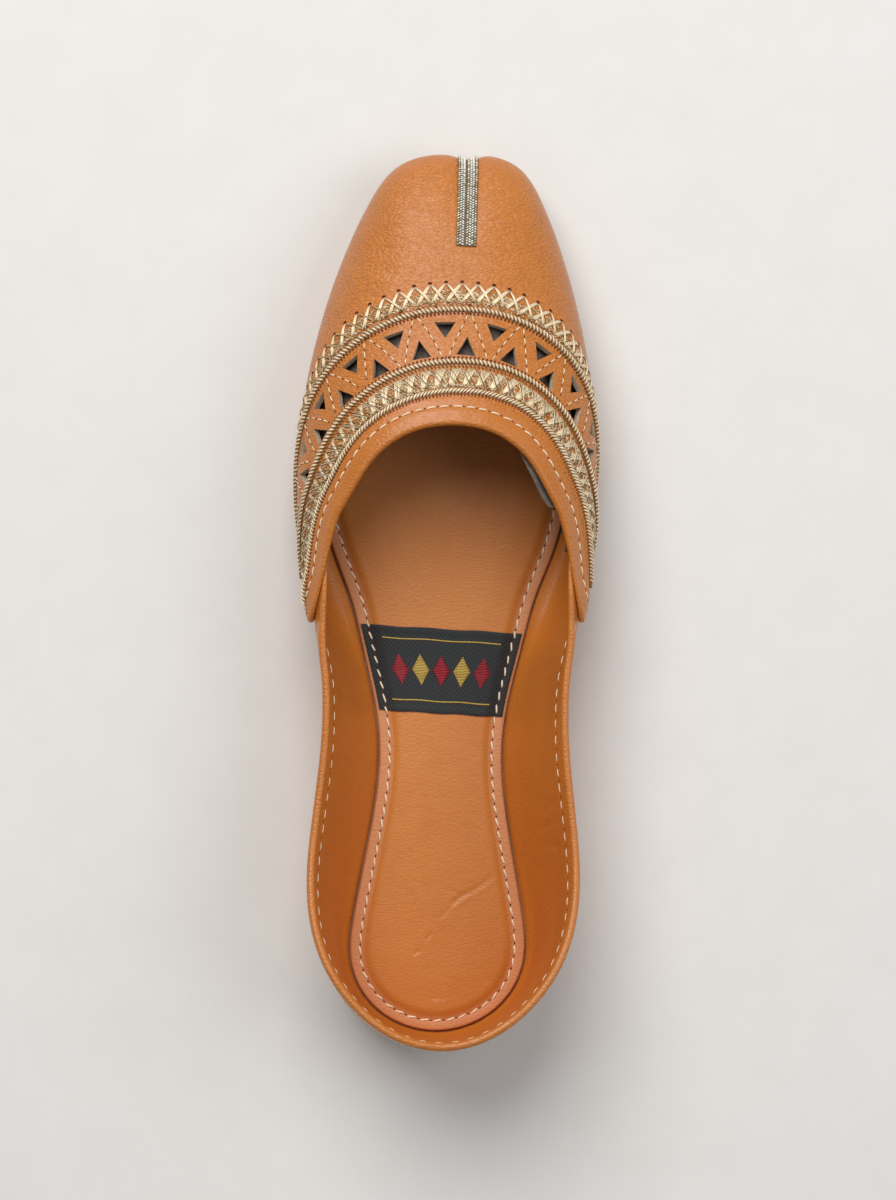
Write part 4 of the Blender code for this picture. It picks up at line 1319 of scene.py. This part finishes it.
def make_rear_band():
    """Pale bundles under thin slanting pairs, dark and bright, between the two rear cords."""
    runs = line_runs(CORD_MIDDLE, REAR_BAND_PITCH, 0.0)
    bundles = Threads()
    left = runs[runs < REAR_BAND_CHANGE]
    strokes(bundles, CORD_MIDDLE, left, (0.0014, -0.0019), (-0.0008, -0.0075), 0.00015, 0.00042,
            lanes=3, spread=(0.00028, 0.00028), seed=41)
    right = runs[runs >= REAR_BAND_CHANGE]
    strokes(bundles, CORD_MIDDLE, right, (0.0012, -0.0019), (-0.0010, -0.0075), 0.00014, 0.00046,
            lanes=7, spread=(0.00040, 0.00016), seed=47)
    strokes(bundles, CORD_MIDDLE, runs, (-0.0026, -0.0021), (0.0012, -0.0076), 0.00012, 0.00072,
            seed=42)
    bundles.piece("rear_band_bundles", CREAM)
    dark = Threads(5)
    strokes(dark, CORD_MIDDLE, runs, (-0.0023, -0.0021), (0.0015, -0.0076), 0.00013, 0.00074,
            seed=43)
    strokes(dark, CORD_MIDDLE, runs, (-0.0008, -0.0021), (0.0028, -0.0076), 0.00009, 0.00055,
            seed=44)
    gold = Threads(4)
    pale = Threads(4)
    flecks(pale, CORD_MIDDLE, (-0.0022, -0.0076), 2.4e6, 0.0008, -0.5, 45)
    flecks(gold, CORD_MIDDLE, (-0.0022, -0.0076), 2.4e6, 0.0008, -0.5, 46)
    couch((pale, gold, dark), CORD_REAR, (0.0012, 0.0017), 51)
    gold.piece("rear_band_couching", GOLD)
    pale.piece("rear_band_flecks", CREAM)
    dark.piece("rear_band_crossings", OLIVE)


def make_core(name, base, radius, height):
    """The dark core of a cord, laid on the vamp from wing to wing."""
    runs = line_runs(base, 0.0008)
    u = SKIN.place(base, runs)
    keep = within(u, band_distance(base, u))
    u = u[keep]
    points, normals = on_vamp(u, band_distance(base, u), height)
    core = Threads(8)
    core.add(points[None], normals[None], radius)
    core.piece(f"{name}_cord_core", CORE, replaces=[f"cord_{name}"])


# The cords: name, distance down, core radius and height, pitch, start and end of a bright stitch,
# its height, unevenness and seed, then run, drop, radius and stretch of the dark dots that are the
# painted shade of the stitch holes
CORDS = (
    ("front", CORD_FRONT, 0.00062, 0.00030, CORD_STITCH_PITCH, (-0.00060, 0.00090),
     (0.00060, -0.00085), 0.00105, 0.00003, 61, (0.00080, -0.00122, 0.00028, 1.45)),
    ("middle", CORD_MIDDLE, 0.00062, 0.00030, CORD_STITCH_PITCH, (-0.00060, 0.00085),
     (0.00060, -0.00090), 0.00100, 0.00003, 62, (-0.00070, 0.00124, 0.00028, 1.4)),
    ("rear", CORD_REAR, 0.00066, 0.00020, REAR_STITCH_PITCH, (0.00080, 0.00085),
     (-0.00075, -0.00090), 0.00095, 0.00004, 64, (-0.00100, -0.00125, 0.00022, 1.4)),
)


def make_cords():
    """Three cords: slanted bright stitches over dark cores, with the painted shade of stitch holes
    beside them.
    """
    holes = Threads()
    bright = Threads()
    for name, base, radius, rise, pitch, first, last, height, rough, seed, hole in CORDS:
        make_core(name, base, radius, rise)
        runs = line_runs(base, pitch)
        strokes(bright, base, runs, first, last, 0.00015, height, lanes=2,
                spread=(0.00024, 0.00024), rough=rough, seed=seed)
        dots_along(holes, base, runs, *hole)
    dull = Threads(5)
    strokes(dull, CORD_MIDDLE, line_runs(CORD_MIDDLE, CORD_STITCH_PITCH), (0.00045, -0.00080),
            (0.00095, -0.00185), 0.00015, 0.00045, rough=0.00005, seed=63, count=5)
    bright.piece("cord_stitches", CREAM)
    dull.piece("middle_cord_ties", OLIVE)
    holes.piece("cord_needle_hole_shade", NEEDLE_HOLE_SHADE, "tan_leather")


def make_openwork_stitches():
    """Dashed lines in the strips between the triangles."""
    threads = Threads()
    # Flat dark dots between the stitches: painted shade of the stitch holes
    holes = Threads()
    top = CORD_FRONT - 0.0010
    base = CORD_MIDDLE + 0.0008
    share = np.linspace(0.0, 1.0, 60)
    seed = 70
    for i, up in enumerate(UPRIGHT_RUNS):
        for j, sign in ((i - 1, -1.0), (i, 1.0)):
            if not 0 <= j < len(INVERTED_RUNS):
                continue
            seed += 1
            high = SKIN.place(INNER_TRIANGLE_BACK, up) + SEAM_APART[0] * sign
            low = SKIN.place(OUTER_TRIANGLE_BACK, INVERTED_RUNS[j]) - SEAM_APART[1] * sign
            u = high + (low - high) * share
            d = band_distance(top + (base - top) * share, u)
            if not np.all(within(u, d)):
                continue
            points, normals = on_vamp(u, d)
            sew(threads, holes, points, normals, OPENWORK_STITCH_PITCH, 0.00185, 0.00021, 0.00020,
                0.00020, seed, stretch=2.0)
    threads.piece("openwork_stitches", CREAM)
    holes.piece("openwork_needle_hole_shade", NEEDLE_HOLE_SHADE, "tan_leather")


# Toe braid

def braid_u(side, d):
    """Places round the last that lie at side distances from the centre line."""
    low = np.full(np.shape(side), -KNOTS[2])
    high = np.full(np.shape(side), KNOTS[2])
    for _ in range(26):
        middle = (low + high) / 2
        points, _ = SKIN.at(middle, d)
        left = points[..., 0] - swing(points[..., 1]) < side
        low = np.where(left, middle, low)
        high = np.where(left, high, middle)
    return (low + high) / 2


# Columns of the braid: distance from its left edge, half length and slant of its stitches, and
# whether they shine
BRAID_COLUMNS = [
    (0.00034, 0.00020, 1.0, False),
    (0.00104, 0.00028, 1.0, True),
    (0.00172, 0.00028, -1.0, True),
    (0.00296, 0.00024, 1.0, False),
    (0.00366, 0.00028, -1.0, True),
    (0.00440, 0.00028, 1.0, True),
    (0.00514, 0.00020, -1.0, False),
]
BRAID_PITCH = 0.00080


def make_toe_braid():
    """Woven braid down the fold: slanted stitches in columns with a dark line left of the middle."""
    lines = wall_lines(np.array([0.0]))[0]
    run = run_along(lines)
    knee = WALL_STEPS - 1
    start = np.interp(LENGTH / 2 - BRAID_START, lines[:knee + 1, 1], run[:knee + 1])
    end = run[knee] + BRAID_END
    left = FOLD_SIDE - BRAID_WIDTH / 2

    def on_fold(side, d, height):
        points, normals = SKIN.at(braid_u(side, d), d)
        rise = height - fold_dent(points)
        return points + normals * rise[..., None], normals

    d, side = np.meshgrid(np.linspace(start, end, 90), np.linspace(0.0, BRAID_WIDTH, 25),
                          indexing="ij")
    round_edge = 0.00012 * np.clip(1.0 - np.minimum(side, BRAID_WIDTH - side) / 0.0003, 0.0, 1.0)
    face, _ = on_fold(left + side, d, 0.00046 - round_edge)
    back, _ = on_fold(left + side, d, np.full(side.shape, 0.00012))
    sheet_piece("toe_braid_ground", face, back, BRAID_GROUND, ["toe_braid"])

    rng = np.random.default_rng(81)
    bright = Threads()
    dull = Threads()
    t, arch, thick = stitch_shape(6)
    for k, (column, reach, slant, shining) in enumerate(BRAID_COLUMNS):
        middles = np.arange(start + 0.0004 + (k % 2) * BRAID_PITCH / 2, end - 0.0004, BRAID_PITCH)
        middles = middles + rng.normal(0.0, 0.00005, len(middles))
        dark = rng.random(len(middles)) < (0.12 if shining else 0.50)
        dark |= (middles > end - 0.0035) & (rng.random(len(middles)) < 0.6)
        across = left + column + reach * 1.05 * (2.0 * t - 1.0)
        along = middles[:, None] + 0.00022 * slant * (2.0 * t - 1.0)[None, :]
        across = np.broadcast_to(across[None, :], along.shape)
        line, normals = on_fold(across, along, np.broadcast_to(0.00042 + 0.00030 * arch, along.shape))
        for batch, some in ((bright, ~dark), (dull, dark)):
            batch.add(line[some], normals[some], (0.00022 * thick)[None, :], flat=0.9)
    bright.piece("toe_braid_bright", SILVER, "silver_braid")
    dull.piece("toe_braid_dull", DULL_SILVER, "silver_braid")


# Sole and insole

def feather_edge(u):
    values = LAST(u)
    return values[:, :2] - plan_normals(u, [0, 1]) * values[:, 4:5]


def feather_line(u, inset):
    """The feather edge in plan, moved inward by an inset."""
    normal = side_of(feather_edge(u + NUDGE) - feather_edge(u - NUDGE))
    line = feather_edge(u) - normal * inset
    line[:, 0] += swing(line[:, 1])
    return line


def mirrored_places(per_station):
    """Places round the last, mirrored side to side."""
    return np.concatenate([np.linspace(a, b, per_station, endpoint=False)
                           for a, b in zip(KNOTS, KNOTS[1:])])


def fill_across(ring, steps, height_at):
    """Close a mirrored ring with a fine grid from side to side; its height follows a function."""
    size = len(ring)
    half = size // 2
    left = ring[(-np.arange(1, half)) % size]
    right = ring[np.arange(1, half)]
    t = np.linspace(0.0, 1.0, steps + 1)[1:-1]
    inner = left[:, None] * (1 - t)[None, :, None] + right[:, None] * t[None, :, None]
    inner[..., 2] = height_at(inner[..., 0], inner[..., 1])
    verts = inner.reshape(-1, 3)
    columns = len(t)

    def index(k, j):
        if j == 0:
            return (size - k) % size
        if j == steps:
            return k
        return size + (k - 1) * columns + j - 1

    faces = []
    for k in range(1, half - 1):
        for j in range(steps):
            faces.append([index(k, j), index(k, j + 1), index(k + 1, j + 1), index(k + 1, j)])
    faces.append([0] + [index(1, j) for j in range(steps, -1, -1)])
    faces.append([half] + [index(half - 1, j) for j in range(0, steps + 1)])
    return verts, faces


def closed_body(name, rings, top_fill, low_fill, materials, node, sharp, side_marks=None):
    """Stacked rings, closed above and below by grids; a fill is its steps and its height."""
    size = len(rings[0])
    top_verts, top_faces = fill_across(rings[-1], *top_fill)
    low_verts, low_faces = fill_across(rings[0], *low_fill)
    top_first = len(rings) * size

    def renumber(face, ring_first, extra_first):
        return [ring_first + k if k < size else extra_first + k - size for k in face]

    faces = grid_faces(len(rings), size, wrap=True).tolist()
    faces += [renumber(f, top_first - size, top_first) for f in top_faces]
    faces += [renumber(f[::-1], 0, top_first + len(top_verts)) for f in low_faces]
    marks = None
    if side_marks is not None:
        marks = side_marks + [0] * len(top_faces) + [1] * len(low_faces)
    verts = np.concatenate(rings + [top_verts, low_verts])
    piece = new_piece(name, verts, faces, materials, [node], marks)
    point_outward(piece, sharp)
    return piece


def make_outsole():
    """Leather outsole with a low heel and rounded edges."""
    u = mirrored_places(14)

    def underside(along):
        return bottom_rise(along) * smooth_step((along - HEEL_BREAST) / BREAST_RUN)

    def rounded(angle, level, sign):
        inset = SOLE_EDGE_ROUND * (1 - math.cos(angle)) - SOLE_MARGIN
        line = feather_line(u, inset)
        return np.column_stack([line, level(line[:, 1])
                                + sign * SOLE_EDGE_ROUND * (1 - math.sin(angle))])

    turns = [math.radians(a) for a in (0, 30, 60, 90)]
    rings = [rounded(angle, underside, 1.0) for angle in turns[::-1]]
    for share in (0.25, 0.5, 0.75):
        line = feather_line(u, -SOLE_MARGIN - SOLE_BULGE * math.sin(math.pi * share))
        low = underside(line[:, 1]) + SOLE_EDGE_ROUND
        high = seat_height(line[:, 1]) - SOLE_EDGE_ROUND
        rings.append(np.column_stack([line, low + (high - low) * share]))
    rings += [rounded(angle, seat_height, -1.0) for angle in turns]
    closed_body("outsole_leather", rings, (40, lambda x, y: seat_height(y)),
                (40, lambda x, y: underside(y)), [SOLE_LEATHER], "outsole", SHARP)


INSOLE_FOOT = WALL + CLEARANCE + INSOLE_MARGIN
INSOLE_OUTLINE = feather_line(mirrored_places(6), INSOLE_FOOT)
BORDER_RINGS = 11

# Creases of the insole's leather in plan: start, end, bow, width and depth
INSOLE_CREASES = [
    ((0.0145, -0.0779), (0.0060, -0.0838), 0.0003, 0.00052, 0.00034),
    ((0.0078, -0.0826), (0.0012, -0.0872), -0.0003, 0.00056, 0.00046),
    ((0.0020, -0.0872), (-0.0022, -0.0908), 0.0002, 0.00050, 0.00018),
    ((-0.0034, -0.0942), (-0.0056, -0.0968), 0.0001, 0.00046, 0.00022),
    ((-0.0068, -0.0992), (-0.0090, -0.1010), 0.0000, 0.00046, 0.00024),
    ((0.0006, -0.0820), (0.0044, -0.0838), 0.0002, 0.00048, 0.00018),
    ((-0.0142, -0.0812), (-0.0078, -0.0844), 0.0003, 0.00046, 0.00008),
    ((-0.0100, -0.0790), (-0.0040, -0.0812), -0.0003, 0.00050, 0.00006),
    ((-0.0110, -0.0590), (-0.0020, -0.0612), 0.0004, 0.00055, 0.00006),
    ((-0.0080, -0.0560), (0.0030, -0.0570), -0.0003, 0.00060, 0.00005),
    ((-0.0060, -0.0480), (0.0060, -0.0470), 0.0004, 0.00060, 0.00005),
    ((0.0030, -0.0640), (0.0120, -0.0665), 0.0004, 0.00060, 0.00005),
]


def insole_height(x, y, inset):
    """Height of the insole's finished face: a flat border and a domed pad."""
    reach = inset - PAD_START
    pad = 0.75 * smooth_step(reach / PAD_SHOULDER) + 0.25 * smooth_step(reach / PAD_DOME)
    height = INSOLE_EDGE + PAD_RISE * pad - 0.00022 * groove(inset - INSOLE_STITCH_IN, 0.0005)
    return seat_height(y) + CLEARANCE + height + crease_relief(x, y, INSOLE_CREASES)


def on_patch(x, y, room=0.0):
    """Whether places in plan lie between the patch's two hems."""
    along = y + PATCH_SLANT * x
    return (along < PATCH_FRONT + room) & (along > PATCH_BACK - room)


def pad_height(x, y):
    """Height of the insole's finished face at points in plan, by their distance from its outline."""
    edges = np.roll(INSOLE_OUTLINE, -1, axis=0) - INSOLE_OUTLINE
    flat = np.column_stack([np.ravel(x), np.ravel(y)])
    best = np.full(len(flat), np.inf)
    for p, e in zip(INSOLE_OUTLINE, edges):
        t = np.clip(((flat - p) @ e) / (e @ e), 0.0, 1.0)
        gap = flat - p - t[:, None] * e
        best = np.minimum(best, np.einsum("ij,ij->i", gap, gap))
    return insole_height(x, y, np.sqrt(best).reshape(np.shape(x)))


def make_insole():
    """Padded insole: bound border, stitched groove and a raised pad with soft creases."""
    u = mirrored_places(28)
    insets = np.array([0.0, 0.0, 0.00015, 0.0004, 0.0008, 0.0014, 0.0020, 0.0024, 0.0028, 0.0032,
                       0.0036, 0.0040, 0.0044, 0.0049, 0.0055, 0.0062, 0.0070, 0.0080, 0.0090])
    rings = []
    for k, inset in enumerate(insets):
        line = feather_line(u, INSOLE_FOOT + inset)
        height = insole_height(line[:, 0], line[:, 1], np.full(len(u), inset))
        if k == 0:
            height = seat_height(line[:, 1]) + CLEARANCE
        elif k < 4:
            height = height - 0.00045 * (1.0 - inset / 0.0004) ** 2
        rings.append(np.column_stack([line, height]))
    marks = [int(r < BORDER_RINGS) for r in range(len(rings) - 1) for _ in u]
    insole = closed_body("padded_insole", rings, (120, pad_height),
                         (12, lambda x, y: seat_height(y) + CLEARANCE), [PAD, BORDER],
                         "insole", SOFT_SHARP, marks)

    line_u = np.linspace(0.0, ROUND, 2400)
    line = feather_line(line_u, INSOLE_FOOT + INSOLE_STITCH_IN)
    height = insole_height(line[:, 0], line[:, 1], np.full(len(line), INSOLE_STITCH_IN))
    height = height + 0.00058 * on_patch(line[:, 0], line[:, 1], 0.0003)
    points = np.column_stack([line, height])
    normals = np.tile([0.0, 0.0, 1.0], (len(points), 1))
    sewn_seam("insole", "insole_leather", points, normals, INSOLE_STITCH_PITCH,
              INSOLE_STITCH_LENGTH, STITCH_RADIUS * 1.20, 0.00026, 0.00030, 9, slant=0.22,
              stretch=1.3)


def patch_grid(share, t, height):
    """Points over the insole at shares from the front hem to the back one and from side to side."""
    places = np.linspace(KNOTS[WING_ROW - 1], KNOTS[WING_ROW + 2], 300)
    right = feather_line(places, INSOLE_FOOT + PATCH_INSET)
    left = feather_line(-places, INSOLE_FOOT + PATCH_INSET)
    middle = PATCH_FRONT + (PATCH_BACK - PATCH_FRONT) * share
    ends = []
    for edge in (left, right):
        along = -(edge[:, 1] + PATCH_SLANT * edge[:, 0])
        order = np.argsort(along)
        ends.append([np.interp(-middle, along[order], edge[order, k]) for k in (0, 1)])
    x = ends[0][0] + (ends[1][0] - ends[0][0]) * t
    y = ends[0][1] + (ends[1][1] - ends[0][1]) * t
    y = y + 0.00012 * np.sin(t * 19.0 + share * 2.0) * (0.5 + 0.5 * np.abs(2.0 * share - 1.0))
    return np.stack([x, y, pad_height(x, y) + height], axis=-1)


def make_patch():
    """The black woven patch across the insole, with plain hems and a generic row of lozenges."""
    share, t = np.meshgrid(np.linspace(0.0, 1.0, 61), np.linspace(0.0, 1.0, 111), indexing="ij")
    hem = np.minimum(np.minimum(share, 1.0 - share) * 0.024, np.minimum(t, 1.0 - t) * 0.042)
    fold = 0.00014 * (1.0 - smooth_step((hem - 0.0014) / 0.0004)) - 0.00020 * (hem < 0.0002)
    bow = 0.00010 * np.sin(t * 9.0) * np.sin(share * 3.0)
    face = patch_grid(share, t, 0.00046 + fold + bow)
    back = patch_grid(share, t, 0.00012)
    sheet_piece("woven_patch", face, back, TWILL, ["insole_label"])

    red = Threads(5)
    yellow = Threads(5)
    steps = np.linspace(-1.0, 1.0, 5)

    def weave(batch, share, middle, half):
        """Short woven threads along the patch, each at a share and with a half width of its own."""
        t = middle[:, None] + half[:, None] * steps
        s = np.broadcast_to(share[:, None], t.shape)
        points = patch_grid(s, t, 0.00056)
        normals = np.broadcast_to([0.0, 0.0, 1.0], points.shape)
        batch.add(points, normals, 0.00022, flat=0.5)

    for share in LABEL_LINES:
        t = np.linspace(0.12, 0.88, 90)
        weave(yellow, np.full(89, share), (t[1:] + t[:-1]) / 2, np.full(89, 0.0048))
    for k in range(LOZENGES):
        middle = 0.5 + (k - (LOZENGES - 1) / 2) * 0.145
        rows = np.linspace(-1.0, 1.0, 19)
        half = 0.056 * (1.0 - np.abs(rows)) + 0.004
        batch = yellow if k % 2 else red
        weave(batch, 0.5 + 0.17 * rows, np.full(19, middle), half)
    red.piece("patch_red_weave", RED, "black_patch")
    yellow.piece("patch_yellow_weave", YELLOW, "black_patch")


# Stage

def aim(thing, target):
    """Turn a lamp or a camera to a point, with +Y as the top of its view."""
    back = (Vector(thing.location) - target).normalized()
    right = Vector((0.0, 1.0, 0.0)).cross(back)
    if right.length < 1e-6:
        right = Vector((1.0, 0.0, 0.0))
    right.normalize()
    up = back.cross(right)
    turn = thing.matrix_world.to_3x3()
    turn.col[0] = right
    turn.col[1] = up
    turn.col[2] = back
    thing.rotation_euler = turn.to_euler()


def make_stage():
    """Pale floor, soft studio light and the camera of the photograph."""
    floor_mesh = bpy.data.meshes.new("floor")
    corners = [(x * FLOOR_HALF, y * FLOOR_HALF, 0) for x, y in ((-1, -1), (1, -1), (1, 1), (-1, 1))]
    floor_mesh.from_pydata(corners, [], [(0, 1, 2, 3)])
    floor = add_object("floor", floor_mesh)
    kit = Nodes("pale floor", (0.80, 0.785, 0.755), 0.9)
    paper = kit.noise(60.0, 4.0, 0.6)
    kit.set(**{"Base Color": kit.mix(kit.span(paper, 0.3, 0.7), (0.79, 0.775, 0.745),
                                     (0.815, 0.80, 0.77))})
    floor.data.materials.append(kit.material)
    world = bpy.data.worlds.new("studio")
    bpy.context.scene.world = world
    world.use_nodes = True
    back = world.node_tree.nodes["Background"]
    back.inputs["Color"].default_value = (0.95, 0.96, 1.0, 1.0)
    back.inputs["Strength"].default_value = WORLD_STRENGTH
    bpy.context.scene.view_settings.view_transform = "Standard"
    for k, (place, size, power, colour) in enumerate(LIGHTS):
        light = bpy.data.lights.new(f"softbox_{k}", "AREA")
        light.shape = "DISK"
        light.size = size
        light.energy = power
        light.color = colour
        lamp = add_object(f"softbox_{k}", light)
        lamp.location = place
        aim(lamp, Vector((0.0, 0.0, 0.02)))
    low, high = cad_box
    middle = (Vector(low) + Vector(high)) / 2
    camera = add_object("camera", bpy.data.cameras.new("camera"))
    camera.data.sensor_fit = "VERTICAL"
    camera.data.sensor_height = SENSOR_HEIGHT
    camera.data.lens = SENSOR_HEIGHT * PHOTO_FOCUS / PHOTO_HEIGHT
    camera.location = CAMERA_AT
    aim(camera, middle)
    bpy.context.scene.camera = camera


def main():
    """Make every piece and the stage."""
    make_outsole()
    make_insole()
    make_patch()
    make_quarter()
    make_vamp()
    make_vamp_lining()
    make_binding_stitches()
    make_rim_stitches()
    make_zigzag()
    make_front_band()
    make_rear_band()
    make_cords()
    make_openwork_stitches()
    make_toe_braid()
    make_stage()


main()
